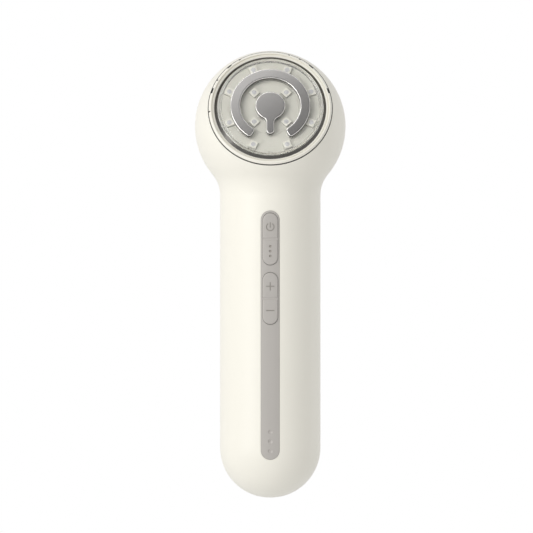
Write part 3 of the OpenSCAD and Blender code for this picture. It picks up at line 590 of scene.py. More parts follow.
collar_h, collar_top, collar_in_r = seam_h - COLLAR_DEPTH, seam_h - COLLAR_TOP, seal_in_r - COLLAR_WALL
collar = turned("collar", [(collar_in_r, collar_h), (COLLAR_R, collar_h), (COLLAR_R, collar_top),
                           (collar_in_r, collar_top)])
combine(casing_front, moved(collar, ON_FACE), "UNION")
rim_h = seam_h - RIM_DROP
rim_r = ball_r(rim_h)
flare = head_r - rim_r + SEAM_CHAMFER
face_cutter = turned("face_cutter", [
    (0, collar_h - HAIR), (seal_in_r, collar_h - HAIR), (seal_in_r, rim_h),
    (rim_r - SEAM_CHAMFER, rim_h), (head_r, rim_h - CHAMFER_SLOPE * flare),
    (head_r, 2 * head_r), (0, 2 * head_r)])
combine(casing_front, moved(face_cutter, ON_FACE))

# %% [markdown]
# ## Laying things on the handle
# The strip and the keys are drawn flat, with the height above the casing as Z, and then draped:
# each point moves out to the round surface at its place. Below the handle's straight part the
# surface is the ball-shaped end, and the same formula follows it.

# %% Drape


def faceted(piece):
    """Splits every face into triangles, which stay flat when the drawing is bent."""
    pick(piece, "FACE", lambda face: True)
    bpy.ops.mesh.quads_convert_to_tris()
    leave(piece)


def surface(x, z):
    """How far the casing reaches in front of the axis."""
    return math.sqrt(handle_r ** 2 - x ** 2 - max(0, handle_r - z) ** 2)


def drape(piece, middle=0, flat_below=-math.inf):
    """Lays a flat drawing on the handle's front; what is lower than flat_below stays flat."""
    faceted(piece)
    for vertex in piece.data.vertices:
        x, z, height = vertex.co.x, vertex.co.y + middle, vertex.co.z
        reach_out = surface(x, z) if height > flat_below else handle_r
        vertex.co = (x, -reach_out - height, z)
    return tidy(piece)


def lofted(name, low_line, low, high_line, high):
    """A body between two outlines of as many corners."""
    piece = pulled(name, low_line, low, high)
    faceted(piece)
    corners = [Vector(corner) for corner in low_line]
    for vertex in piece.data.vertices:
        if vertex.co.z > (low + high) / 2:
            spot = min(range(len(corners)), key=lambda i: (corners[i] - vertex.co.xy).length)
            vertex.co.xy = high_line[spot]
    return piece


# %% [markdown]
# The strip lies in a recess with three hundredths of a millimetre round it. The recess's edge would
# be knife sharp, so a second, very shallow cut with sloping sides takes it off, as the mould's own
# radius does. The floor is drawn with rings inside each other, so that it bends without creases.

# %% Recess for the strip
strip_low, strip_high = box_of("strip_panel")
strip_w, strip_l = strip_high.x - strip_low.x, strip_high.z - strip_low.z
strip_z = (strip_low.z + strip_high.z) / 2
strip_t = 1.2
RECESS_GAP, RECESS_RIM, SEAT_DROP, FUNNEL_FOOT = 0.03, 0.05, 0.05, 0.02
CLEAR = 1  # how far a cutter stands clear of what it cuts
FLOOR_RINGS = [0.9, 0.9, 0.9]


def pill_cutter(width, length, depth, rings=FLOOR_RINGS):
    cutter = pulled("cutter", pill(width, length), -depth, CLEAR)
    ripple(cutter, -depth, rings)
    return ripple(cutter, CLEAR, rings)


def rim_cutter(width, length, rim, rings=FLOOR_RINGS):
    """A funnel that takes the edge off a pill-shaped opening."""
    foot = rim + FUNNEL_FOOT
    low_line = pill(width - 2 * FUNNEL_FOOT, length - 2 * FUNNEL_FOOT)
    high_line = pill(width + 4 * rim, length + 4 * rim)
    funnel = lofted("funnel", low_line, -foot, high_line, rim)
    ripple(funnel, -foot, rings)
    return ripple(funnel, rim, rings)


def opening(piece, size, depth, rim, lay, rings=FLOOR_RINGS):
    """Cuts a pill-shaped opening of a width and length and takes its edge off."""
    combine(piece, lay(pill_cutter(*size, depth, rings)))
    combine(piece, lay(rim_cutter(*size, rim, rings)))


recess = strip_w + 2 * RECESS_GAP, strip_l + 2 * RECESS_GAP
opening(casing_front, recess, strip_t + SEAT_DROP, RECESS_RIM, lambda cutter: drape(cutter, strip_z))
print("recess", round(recess[0], 2), "by", round(recess[1], 2))

# %% [markdown]
# Two windows for the keys go right through the wall. Under the strip there are also two wells for
# the screws that hold the inner frame.

# %% Windows and wells under the strip
KEY_GAP, SCREW_HEAD_R, WELL_GAP, WELL_DEPTH = 0.2, 1.8, 0.2, 2.7
KEYS = {}
for node in ("power_mode_key", "level_key"):
    low, high = box_of(node)
    KEYS[node] = (low.z + high.z) / 2
key_w, key_l, key_rise = high.x - low.x, high.z - low.z, -low.y - handle_r
window = key_w + 2 * KEY_GAP, key_l + 2 * KEY_GAP
for key_z in KEYS.values():
    combine(casing_front, drape(pill_cutter(*window, 3 * wall), key_z))


def post(name, radius, low, high, spot=(0, 0)):
    """A round bar along Z, at a spot of the drawing."""
    clear()
    bpy.ops.mesh.primitive_cylinder_add(vertices=48, radius=radius, depth=high - low,
                                        location=(*spot, (low + high) / 2))
    piece = bpy.context.object
    piece.name = name
    piece.data.transform(piece.matrix_world)
    piece.matrix_world = Matrix.Identity(4)
    return piece


def block(name, low, high):
    """A box between two corners."""
    clear()
    bpy.ops.mesh.primitive_cube_add(size=1)
    piece = bpy.context.object
    piece.name = name
    low, high = Vector(low), Vector(high)
    size = Matrix.Diagonal((*(high - low), 1))
    return moved(piece, Matrix.Translation((low + high) / 2) @ size)


frame_screw_low, frame_screw_high = box_of("chassis_screws")
wells = [frame_screw_low.z + SCREW_HEAD_R, frame_screw_high.z - SCREW_HEAD_R]
for well_z in wells:
    well = post("well", SCREW_HEAD_R + WELL_GAP, handle_r - WELL_DEPTH, handle_r + CLEAR)
    combine(casing_front, moved(well, Matrix.Translation((0, 0, well_z)) @ UPRIGHT))
print("keys at", KEYS, "size", round(key_w, 2), round(key_l, 2), "wells at", wells)

# %% [markdown]
# The charging port sits at the very bottom, across both halves. The same kind of drawing is laid on
# the ball-shaped end: its height counts downwards from there.

# %% Opening for the port
_, port_high = box_of("port_insert")
PORT_W, PORT_T, PORT_GAP, PORT_RIM = 12.0, 6.0, 0.1, 0.1


def lay_under(piece):
    """Lays a flat drawing on the lower end, its height pointing down."""
    faceted(piece)
    for vertex in piece.data.vertices:
        x, y, height = vertex.co.y, vertex.co.x, vertex.co.z
        drop = handle_r - math.sqrt(handle_r ** 2 - x ** 2 - y ** 2)
        vertex.co = (x, y, drop - height)
    return tidy(piece)


for half in (casing_front, casing_rear):
    hole = PORT_T + 2 * PORT_GAP, PORT_W + 2 * PORT_GAP
    opening(half, hole, 3 * wall, PORT_RIM, lay_under)

# %% Casing done
settle(casing_front, cream, "front_shell")
settle(casing_rear, cream, "rear_shell")

# %% [markdown]
# ## Bezel
# The bezel is a turned ring that carries on the ball's surface up to a flat top. A fine groove runs
# round that top, and a narrow land inside it slopes down to the metal ring. The edges have radii of
# a tenth of a millimetre or so, which are the bright lines in the photograph. Small notches in the
# outer rim show the dark seal below.

# %% Bezel ring
FACE_STEPS = 216
GROOVE_GAP, GROOVE_W, GROOVE_DEPTH = 0.75, 0.42, 0.8
LAND_DROP, LAND_SLOPE, RING_SEAT = 0.4, 0.35, 0.05
SKIRT_GAP, SKIRT_REACH, SKIRT_FOOT, FOOT_DROP = 0.1, 0.7, 0.2, 0.14
TOP_R, EDGE_R, FINE_R, FOOT_R = 0.18, 0.1, 0.05, 0.03
skirt_r, skirt_in_r, skirt_low = seal_in_r - SKIRT_GAP, plate_r + SKIRT_REACH, collar_h + SKIRT_FOOT
groove_r, bezel_foot, bezel_mid = ring_r + GROOVE_GAP, seal_top - FOOT_DROP, (seal_top + bezel_h) / 2
bezel_line = rounded([
    (skirt_r, skirt_low, 0),
    (skirt_r, bezel_foot, 0),
    (ball_r(bezel_foot), bezel_foot, FOOT_R),
    (ball_r(bezel_mid), bezel_mid, 0),
    (ball_r(bezel_h), bezel_h, TOP_R),
    (groove_r + GROOVE_W, bezel_h, EDGE_R),
    (groove_r + GROOVE_W, bezel_h - GROOVE_DEPTH, FINE_R),
    (groove_r, bezel_h - GROOVE_DEPTH, FINE_R),
    (groove_r, bezel_h - LAND_DROP, EDGE_R),
    (ring_r + RING_SEAT, bezel_h - LAND_DROP - LAND_SLOPE, FINE_R),
    (ring_r + RING_SEAT, shoulder_h, 0),
    (skirt_in_r, shoulder_h, 0),
    (skirt_in_r, skirt_low, 0),
])
face_bezel = turned("face_bezel", bezel_line, FACE_STEPS)
print("bezel from r", round(skirt_in_r, 2), "to", round(ball_r(seal_top), 2))

# %% Notches in the rim
NOTCH_W, NOTCH_DROP = 0.6, 0.5
NOTCHES = {18: 2.4, 162: 2.5, 150: 0.7, 48: 2.3, 132: 2.2, 61: 0.8, 120: 0.9, 72: 0.6, 184: 0.6}


def on_ring(angle, radius=0.0):
    """Turns a drawing round the face's axis, with its X outwards."""
    return Matrix.Rotation(math.radians(angle), 4, "Z") @ Matrix.Translation((radius, 0, 0))


for angle, length in NOTCHES.items():
    notch = block("notch", (-NOTCH_W, -length / 2, seal_top - NOTCH_DROP),
                  (CLEAR, length / 2, bezel_h))
    combine(face_bezel, moved(notch, on_ring(angle, ball_r(seal_top))))
settle(face_bezel, cream, "head_bezel", ON_FACE)

# %% [markdown]
# ## Seal and metal ring
# The seal is a turned ring with a thin lip that lies on the casing's rim. From the front, the lip
# shows below and at the sides as one fine dark line, and the bezel hides it above. The ring inside
# the bezel is polished dark metal. Its top is a cone that falls outwards at nearly forty degrees,
# so from the front the dark band looks wide below and narrow above.

# %% Two thin rings
LIP_T, LIP_INSET, LIP_R = 0.06, 0.03, 0.02
lip_r, lip_h = rim_r - LIP_INSET, rim_h + LIP_T
seam_seal = turned("seam_seal", rounded([
    (seal_in_r, rim_h, 0), (lip_r, rim_h, 0), (lip_r, lip_h, LIP_R), (seal_r, lip_h, 0),
    (seal_r, bezel_foot, 0), (seal_in_r, bezel_foot, 0)]), FACE_STEPS)
settle(seam_seal, seal_rubber, "head_seal", ON_FACE)

RING_LOW, RING_LIP = 0.8, 0.03
dark_ring = turned("dark_ring", rounded([
    (ring_in_r, shoulder_h, 0), (ring_r, shoulder_h, 0), (ring_r, bezel_h - RING_LOW, FOOT_R),
    (ring_in_r + RING_LIP, bezel_h, 0), (ring_in_r, bezel_h, 0)]), FACE_STEPS)
settle(dark_ring, dark_metal, "trim_ring", ON_FACE)

# %% [markdown]
# ## Electrodes
# Both electrodes are drawn as outlines of arcs that touch each other: the C with its rounded ends,
# and the disc whose tail leaves it through a hollow blend. A function with a clearance gives the
# metal's outline and, a little larger, the slot in the cover.

# %% Outlines of the electrodes
ARC_W, ARC_GAP, ARC_CORNER = 3.9, 60, 1.2
DISC_R, TAIL_W, TAIL_REACH, TAIL_BLEND = 5.95, 3.1, 12.3, 2.5
LONG_STEP, DISC_STEP, BLEND_STEP, CORNER_STEP = 4, 5, 8, 12
arc_in_r = arc_out_r - ARC_W


def c_outline(grow=0.0):
    corner = ARC_CORNER + grow
    end = 270 - ARC_GAP / 2
    near_r, far_r = arc_in_r + ARC_CORNER, arc_out_r - ARC_CORNER
    near = end - math.degrees(math.asin(ARC_CORNER / near_r))
    far = end - math.degrees(math.asin(ARC_CORNER / far_r))

    def spot(radius, angle):
        return radius * math.cos(math.radians(angle)), radius * math.sin(math.radians(angle))

    left_near, left_far = spot(near_r, near), spot(far_r, far)
    outer = arc((0, 0), arc_out_r + grow, 180 - far, far, LONG_STEP)
    left_end = arc(left_far, corner, far, end + 90, CORNER_STEP)
    left_end += arc(left_near, corner, end + 90, near + 180, CORNER_STEP)
    inner = arc((0, 0), arc_in_r - grow, near, 180 - near, LONG_STEP)
    return merged(outer + left_end + inner + flipped(left_end))


def flipped(points):
    """The mirror image of a line, drawn from its other end."""
    return [(-x, y) for x, y in reversed(points)]


def merged(points):
    """Drops a point that repeats the one before it."""
    kept = []
    for point in points:
        if not kept or (Vector(point) - Vector(kept[-1])).length > SAME_SPOT:
            kept.append(point)
    if (Vector(kept[0]) - Vector(kept[-1])).length < SAME_SPOT:
        kept.pop()
    return kept


def keyhole_line(grow=0.0):
    blend_x = TAIL_W / 2 + TAIL_BLEND
    blend_y = -math.sqrt((DISC_R + TAIL_BLEND) ** 2 - blend_x ** 2)
    turn = math.degrees(math.atan2(-blend_y, blend_x))
    blend_r, tail_r = TAIL_BLEND - grow, TAIL_W / 2 + grow
    disc = arc((0, 0), DISC_R + grow, -turn, 180 + turn, DISC_STEP)
    left = arc((-blend_x, blend_y), blend_r, turn, 0, BLEND_STEP)
    end = arc((0, TAIL_W / 2 - TAIL_REACH), tail_r, 180, 360, CORNER_STEP)
    return merged(disc + left + end + flipped(left))


print("outlines of", len(c_outline()), "and", len(keyhole_line()), "corners")

# %% [markdown]
# The metal is pulled up from its outline. Its top edge gets a rounded bevel with a smoother,
# polished finish of its own, since an electrode is brushed flat and then edge-polished so that it
# slides over skin. The bevel is also given a far brighter colour than the top, a painted highlight,
# and the side walls a darker colour, painted shade.
# Below the plate there are threaded studs, which nuts hold behind the lamp board.

# %% Two electrodes
BEVEL, BEVEL_STEPS, TOP_RING, UPWARDS = 0.3, 5, 0.3, 0.98
STUD_R, STUD_BITE, STUD_INSET = 1.0, 0.2, 2.3
ARC_STUDS = (90, 200, 340)
KEYHOLE_STUDS = ((0, 0), (0, STUD_INSET - TAIL_REACH))


def pad(name, line, studs):
    piece = pulled(name, line, plate_h, electrode_h)
    soften(piece, electrode_h, BEVEL, BEVEL_STEPS)
    ripple(piece, electrode_h, [TOP_RING])
    for spot in studs:
        combine(piece, post("stud", STUD_R, stud_end, plate_h + STUD_BITE, spot), "UNION")
    # The bevel faces take the bright copy of the steel, a painted highlight; the side walls take the
    # dark copy, painted shade.
    for material in (metal, edge_painted_highlight, side_painted_shade):
        piece.data.materials.append(material)
    for face in piece.data.polygons:
        if face.normal.z < UPWARDS:
            face.material_index = 1 if face.center.z > electrode_h - BEVEL - HAIR else 2
    return piece


arc_middle = (arc_in_r + arc_out_r) / 2
arc_spots = [on_ring(angle, arc_middle).to_translation().xy for angle in ARC_STUDS]
arc_pad = pad("arc_pad", c_outline(), arc_spots)
settle(arc_pad, metal, "arc_electrode", ON_FACE)
keyhole_pad = pad("keyhole_pad", keyhole_line(), KEYHOLE_STUDS)
settle(keyhole_pad, metal, "keyhole_electrode", ON_FACE)

# %% [markdown]
# ## Clear cover
# The cover is a clear moulded cup, upside down over the lamps. It has a raised rim, a chamfer, two
# slots with flared edges for the electrodes, and at the bottom of the rim the small oblong mark
# where the plastic entered the mould. Light bends at every real edge, so each of them is modelled.

# %% Cup of the cover
COVER_T, COVER_CHAMFER, RIM_STEP = 0.7, 0.9, 0.14
RIM_IN_R, COVER_GAP = 19.35, 0.1
CUP_R, CHAMFER_R, STEP_R = 0.15, 0.12, 0.06
cover_in_r, lid_top = plate_r + COVER_GAP, cover_h - RIM_STEP
clear_lid = turned("clear_lid", rounded([
    (0, cover_h - COVER_T, 0), (cover_in_r, cover_h - COVER_T, CUP_R), (cover_in_r, shoulder_h, 0),
    (cover_r, shoulder_h, FINE_R), (cover_r, cover_h - COVER_CHAMFER, CHAMFER_R),
    (cover_r - COVER_CHAMFER, cover_h, CHAMFER_R), (RIM_IN_R + RIM_STEP, cover_h, STEP_R),
    (RIM_IN_R, lid_top, STEP_R), (0, lid_top, 0)]), FACE_STEPS)

# %% Slots and gate mark
SLOT_GAP, FLARE = 0.1, 0.36
GATE_W, GATE_IN, GATE_OUT, GATE_DEPTH, GATE_R = 1.9, 0.55, 0.1, 0.1, 20.35
for line in (c_outline, keyhole_line):
    combine(clear_lid, pulled("slot", line(SLOT_GAP), seam_h, head_r))
    low_line, high_line = line(SLOT_GAP - FUNNEL_FOOT), line(SLOT_GAP + 2 * FLARE)
    combine(clear_lid, lofted("flare", low_line, lid_top - FLARE - FUNNEL_FOOT, high_line,
                              lid_top + FLARE))
gate = block("gate", (-GATE_IN, -GATE_W / 2, cover_h - GATE_DEPTH),
             (GATE_OUT, GATE_W / 2, cover_h + CLEAR))
combine(clear_lid, moved(gate, on_ring(-90, GATE_R)))
settle(clear_lid, clear_cover, "lens_cover", ON_FACE)

# %% [markdown]
# ## Lamp plate and lamps
# A cream plate closes the board under the cover. Its colour is the cream darkened, a painted shade
# for the shadow that the cover and the electrodes cast on it. It has a square hole for each lamp,
# holes for the studs, and two shallow steps that follow the C. The lamps are white blocks that stand
# proud of the plate, each with a round, slightly domed window.

# %% Plate
PLATE_T, PLATE_STEP, STEP_IN_R, STEP_OUT_R = 0.6, 0.12, 11.2, 16.4
LAMP_W, LAMP_GAP, STUD_GAP = 3.1, 0.1, 0.2
OUTER_R, INNER_R = 17.6, 9.0
LAMP_SPOTS = [(OUTER_R, 22.5 + 45 * i) for i in range(8)] + [(INNER_R, 45 + 90 * i) for i in range(4)]
plate_low, step_h = plate_h - PLATE_T, plate_h - PLATE_STEP
lamp_plate = turned("lamp_plate", rounded([
    (0, plate_low, 0), (plate_r, plate_low, 0), (plate_r, plate_h, EDGE_R),
    (STEP_OUT_R, plate_h, FINE_R), (STEP_OUT_R - PLATE_STEP, step_h, FINE_R),
    (STEP_IN_R + PLATE_STEP, step_h, FINE_R), (STEP_IN_R, plate_h, FINE_R), (0, plate_h, 0)]),
    FACE_STEPS)
half_hole = LAMP_W / 2 + LAMP_GAP
hole_low, hole_high = plate_low - CLEAR, plate_h + CLEAR
for radius, angle in LAMP_SPOTS:
    hole = block("hole", (-half_hole, -half_hole, hole_low), (half_hole, half_hole, hole_high))
    combine(lamp_plate, moved(hole, on_ring(angle, radius)))
for spot in [*arc_spots, *KEYHOLE_STUDS]:
    combine(lamp_plate, post("hole", STUD_R + STUD_GAP, hole_low, hole_high, spot))
settle(lamp_plate, plate_cream, "led_plate", ON_FACE)

# %% Lamps
lamp_low, lamp_high, _, _ = reach("leds")
DOME_R, DOME_H, WINDOW_SINK, WINDOW_STEPS = 0.95, 0.15, 0.3, 32
LAMP_SIDE_R, LAMP_TOP_R, STANDING = 0.1, 0.08, 0.1
lamp_top = lamp_high - DOME_H
window_low = lamp_top - WINDOW_SINK


def one_lamp():
    half = LAMP_W / 2
    body = block("lamp", (-half, -half, lamp_low), (half, half, lamp_top))
    bevelled(body, lambda edge: abs(edge.verts[0].co.z - edge.verts[1].co.z) > STANDING, LAMP_SIDE_R)
    soften(body, lamp_top, LAMP_TOP_R, 3)
    body.data.materials.append(lamp_body)
    window = turned("window", [(0, window_low), (DOME_R, window_low), (DOME_R, lamp_top),
                               (0.8 * DOME_R, lamp_top + 0.6 * DOME_H),
                               (0.45 * DOME_R, lamp_high), (0, lamp_high)], WINDOW_STEPS)
    window.data.materials.append(lamp_lens)
    return joined([body, window])


lamp = one_lamp()
lamps = [copied(lamp, on_ring(angle, radius)) for radius, angle in LAMP_SPOTS]
bpy.data.objects.remove(lamp)
lamps = joined(lamps)
lamps.name = "lamps"
settle(lamps, lamp_body, "leds", ON_FACE)

# %% [markdown]
# ## Strip
# The strip is one long pill with a rounded edge. It is drawn flat with rings of faces inside its
# edge and cuts across it, so the long face has many small faces to bend with. Two windows with soft
# rims let the keys through, and three hollows at the bottom mark the indicator lights.

# %% Slice and bend


def sliced(piece, places, axis=(0, 1, 0)):
    """Cuts new edges across a drawing, at some places along an axis."""
    for place in places:
        pick(piece, "VERT", lambda vertex: True)
        bpy.ops.mesh.bisect(plane_co=Vector(axis) * place, plane_no=axis)
        leave(piece)
    return piece


def even(pitch, count):
    """Places with an even pitch, count of them on each side of zero."""
    return [step * pitch for step in range(-count, count + 1)]


STRIP_EDGE, STRIP_RINGS = 0.22, [0.8, 0.9, 0.9]
FINE_PITCH, COARSE_PITCH, COARSE_FROM = 1.3, 8, 24
control_strip = pulled("control_strip", pill(strip_w, strip_l), -strip_t, 0)
soften(control_strip, 0, STRIP_EDGE)
ripple(control_strip, 0, STRIP_RINGS)
ripple(control_strip, -strip_t, FLOOR_RINGS)
straight = strip_l / 2 - strip_w / 2
sliced(control_strip, [-straight + step * FINE_PITCH for step in range(14)])
sliced(control_strip, [-straight + COARSE_FROM + step * COARSE_PITCH for step in range(9)])
control_strip.data.materials.append(taupe)
WINDOW_RIM = 0.04
for key_z in KEYS.values():
    up = Matrix.Translation((0, key_z - strip_z, 0))
    opening(control_strip, window, 2 * strip_t, WINDOW_RIM, lambda cutter: moved(cutter, up))
print("strip", round(strip_w, 2), "by", round(strip_l, 2))

# %% Hollows for the indicators
DIMPLES = (18.7, 22.55, 26.4)
DIMPLE_R, DIMPLE_DEPTH = 0.95, 0.35


def ball(name, width_r, depth, spot):
    """A ball that leaves a hollow of a given radius and depth at the surface, height 0."""
    clear()
    radius = (width_r ** 2 + depth ** 2) / (2 * depth)
    bpy.ops.mesh.primitive_uv_sphere_add(segments=48, ring_count=32, radius=radius)
    piece = bpy.context.object
    piece.name = name
    return moved(piece, Matrix.Translation((*spot, radius - depth)))


for dimple_z in DIMPLES:
    combine(control_strip, ball("hollow", DIMPLE_R, DIMPLE_DEPTH, (0, dimple_z - strip_z)))
drape(control_strip, strip_z)
settle(control_strip, taupe, "strip_panel", crease=40)

# %% [markdown]
# ## Rocker keys
# Each key is a pill with a wide soft edge, a round-bottomed groove across its middle, and marks
# sunk into its two ends. The floors of the sunk marks carry a darker colour, painted shade: the
# cutters have that material, and the Boolean hands it to the faces it leaves. Below, the key has a
# lug for its pivot pin and two feet that press the switches.

# %% Marks
MARK_OFFSET, MARK_LINE, MARK_DEPTH = 4.8, 0.4, 0.18
MARK_W, RING_R, RING_GAP, BAR_L, BAR_UP = 3.3, 1.5, 1.6, 2.1, 0.75
DOT_R, DOT_DEPTH, DOT_PITCH = 0.53, 0.3, 1.94
mark_floor, mark_top = key_rise - MARK_DEPTH, key_rise + CLEAR


def bar(width, length, up=0):
    return block("bar", (-width / 2, up - length / 2, mark_floor),
                 (width / 2, up + length / 2, mark_top))


def power_mark():
    """A ring that is open at the top, with a bar standing in the opening."""
    half = math.degrees(math.asin(RING_GAP / 2 / RING_R))
    outside = arc((0, 0), RING_R + MARK_LINE / 2, 90 + half, 450 - half, BLEND_STEP)
    inside = arc((0, 0), RING_R - MARK_LINE / 2, 450 - half, 90 + half, BLEND_STEP)
    ring = pulled("ring", outside + inside, mark_floor, mark_top)
    return [ring, bar(MARK_LINE, BAR_L, BAR_UP)]


def minus_mark():
    return [bar(MARK_W, MARK_LINE)]


def plus_mark():
    upright = bar(MARK_LINE, MARK_W)
    return [combine(upright, bar(MARK_W, MARK_LINE), "UNION")]


def dot_marks():
    on_top = Matrix.Translation((0, 0, key_rise))
    return [moved(ball("dot", DOT_R, DOT_DEPTH, (0, up)), on_top) for up in even(DOT_PITCH, 1)]


# %% Key body
KEY_SKIRT, KEY_EDGE, KEY_EDGE_STEPS, KEY_RINGS = 0.15, 0.45, 7, [0.7, 0.7]
PIN_BELOW, PIN_R = 3.8, 0.55
LUG_H, LUG_REACH, LUG_SIDE, NUB_R, NUB_INSET, ROOT = 2.8, 1.1, 0.3, 1.2, 3.05, 0.5
GROOVE_UP, KEY_GROOVE_R, GROOVE_END = 0.6, 0.86, 0.35
KEY_PITCH, GROOVE_PITCH, KEY_DEPTH, FLAT_MARGIN = 0.9, 0.45, 2.7, 0.1
SIDEWAYS = Matrix.Rotation(math.pi / 2, 4, "Y")
pin_out = handle_r - PIN_BELOW
nub_offset = key_l / 2 - NUB_INSET
key_under = handle_r - KEY_DEPTH
key_back = -box_of("power_mode_key")[1].y


def rocker(name, key_z, upper_marks, lower_marks):
    """A key in its place, its marks sunk in, on its lug and feet."""
    outline = pill(key_w + 2 * KEY_SKIRT, key_l + KEY_SKIRT)
    piece = pulled(name, outline, key_under - handle_r, key_rise)
    soften(piece, key_rise, KEY_EDGE, KEY_EDGE_STEPS)
    ripple(piece, key_rise, KEY_RINGS)
    sliced(piece, even(KEY_PITCH, 8))
    piece.data.materials.append(taupe)
    # The sunk marks take the darker taupe, painted shade in the hollows.
    for marks, offset in ((upper_marks, MARK_OFFSET), (lower_marks, -MARK_OFFSET)):
        for mark in marks:
            mark.data.materials.append(key_mark_painted_shade)
            combine(piece, moved(mark, Matrix.Translation((0, offset, 0))), finish_from="TRANSFER")
    groove = post("groove", KEY_GROOVE_R, -key_w / 2 - GROOVE_END, key_w / 2 + GROOVE_END)
    sliced(moved(groove, SIDEWAYS), even(GROOVE_PITCH, 6), (1, 0, 0))
    combine(piece, moved(groove, Matrix.Translation((0, 0, key_rise + GROOVE_UP))))
    drape(piece, key_z, key_under - handle_r + FLAT_MARGIN)
    half = key_w / 2 - LUG_SIDE
    lug = block("lug", (-half, -key_under - ROOT, key_z - LUG_H / 2),
                (half, LUG_REACH - pin_out, key_z + LUG_H / 2))
    combine(piece, lug, "UNION")
    for offset in (-nub_offset, nub_offset):
        nub = post("nub", NUB_R, key_back, key_under + ROOT)
        nub_place = Matrix.Translation((0, 0, key_z + offset)) @ UPRIGHT
        combine(piece, moved(nub, nub_place), "UNION")
    bore = moved(post("bore", PIN_R, -key_w, key_w), SIDEWAYS)
    return combine(piece, moved(bore, Matrix.Translation((0, -pin_out, key_z))))


power_rocker = rocker("power_rocker", KEYS["power_mode_key"], power_mark(), dot_marks())
settle(power_rocker, taupe, "power_mode_key", body="power_key")
level_rocker = rocker("level_rocker", KEYS["level_key"], plus_mark(), minus_mark())
settle(level_rocker, taupe, "level_key", body="level_key_body")

# %% [markdown]
# ## Charging port
# A cream insert closes the hole at the bottom. The socket in it is a drawn steel shell with round
# ends, and a thin tongue with contacts stands inside.

# %% Insert
SOCKET_W, SOCKET_T, SOCKET_WALL = 8.94, 3.26, 0.3
FLANGE_T, FLANGE_W, MOUTH_RIM, MOUTH_GAP, MOUTH_RINGS = 0.6, 0.7, 0.1, 0.1, [0.5, 0.5]
INSERT_L, INSERT_EDGE, INSERT_RINGS, TRIM = 6, 0.12, [0.8, 0.8], 10


def lying_pill(width, length):
    """A pill that lies along the page's X."""
    return [(y, x) for x, y in pill(width, length)]


flange_high = port_high.z
flange_low = flange_high - FLANGE_T
port_surround = pulled("port_surround", pill(PORT_T, PORT_W), -INSERT_L, 0)
soften(port_surround, 0, INSERT_EDGE, 3)
ripple(port_surround, 0, INSERT_RINGS)
lay_under(sliced(port_surround, even(1, 3)))
combine(port_surround, block("trim", (-TRIM, -TRIM, flange_low + FLANGE_T / 2), (TRIM, TRIM, TRIM)))
flange_line = lying_pill(PORT_T + 2 * FLANGE_W, PORT_W + 2 * FLANGE_W)
combine(port_surround, pulled("flange", flange_line, flange_low, flange_high), "UNION")
mouth = SOCKET_T + MOUTH_GAP, SOCKET_W + MOUTH_GAP
opening(port_surround, mouth, INSERT_L, MOUTH_RIM, lay_under, MOUTH_RINGS)
settle(port_surround, cream, "port_insert")

# %% Socket and tongue
SOCKET_EDGE, TONGUE_EDGE, BASE_GAP = 0.08, 0.15, 0.7
socket_low, socket_high = (corner.z for corner in box_of("usb_socket"))
socket_shell = pulled("socket_shell", lying_pill(SOCKET_T, SOCKET_W), socket_low, socket_high)
hollow_line = lying_pill(SOCKET_T - 2 * SOCKET_WALL, SOCKET_W - 2 * SOCKET_WALL)
combine(socket_shell, pulled("hollow", hollow_line, socket_low - CLEAR, socket_high - SOCKET_WALL))
bevelled(socket_shell, at_level(socket_low), SOCKET_EDGE)
settle(socket_shell, bright_steel, "usb_socket")

TONGUE_W, TONGUE_T, TONGUE_BASE = 6.7, 0.7, 1.6
CONTACTS, CONTACT_PITCH, CONTACT_W, CONTACT_L = 12, 0.5, 0.28, 3.4
CONTACT_RISE, CONTACT_FROM = 0.03, 0.5
tongue_low, tongue_high = (corner.z for corner in box_of("usb_tongue"))
socket_tongue = block("socket_tongue", (-TONGUE_W / 2, -TONGUE_T / 2, tongue_low),
                      (TONGUE_W / 2, TONGUE_T / 2, tongue_high - TONGUE_BASE / 2))
bevelled(socket_tongue, at_level(tongue_low), TONGUE_EDGE)
base_line = lying_pill(SOCKET_T - BASE_GAP, SOCKET_W - BASE_GAP)
base = pulled("base", base_line, tongue_high - TONGUE_BASE, tongue_high)
combine(socket_tongue, base, "UNION")
socket_tongue.data.materials.append(black_plastic)
contacts = []
for side in (-1, 1):
    for i in range(CONTACTS):
        x = (i - (CONTACTS - 1) / 2) * CONTACT_PITCH
        y, z = side * TONGUE_T / 2, tongue_low + CONTACT_FROM
        contact = block("contact", (x - CONTACT_W / 2, y - CONTACT_RISE, z),
                        (x + CONTACT_W / 2, y + CONTACT_RISE, z + CONTACT_L))
        contact.data.materials.append(gold_contact)
        contacts.append(contact)
joined([socket_tongue, *contacts])
settle(socket_tongue, black_plastic, "usb_tongue")

# %% [markdown]
# ## Pieces inside
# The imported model's own shapes are right for what lies inside, so they stay, and only take the
# finish of the material slot that the record gives them.

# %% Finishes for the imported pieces
SLOTS = {
    **INSIDE,
    "cream_plastic": cream, "taupe_plastic": taupe, "dark_polished_metal": dark_metal,
    "clear_cover": clear_cover, "clear_guide": clear_guide, "satin_steel": metal,
    "lamp_white": lamp_body,
}
for name, slot in SLOT_OF.items():
    nodes[name].data.materials.clear()
    nodes[name].data.materials.append(SLOTS[slot])
print("finished", len(nodes), "packed pieces")

# %% [markdown]
# ## Camera and light
# The photograph looks straight at the front from some way off. The lens is long, so the handle's
# sides stay parallel.

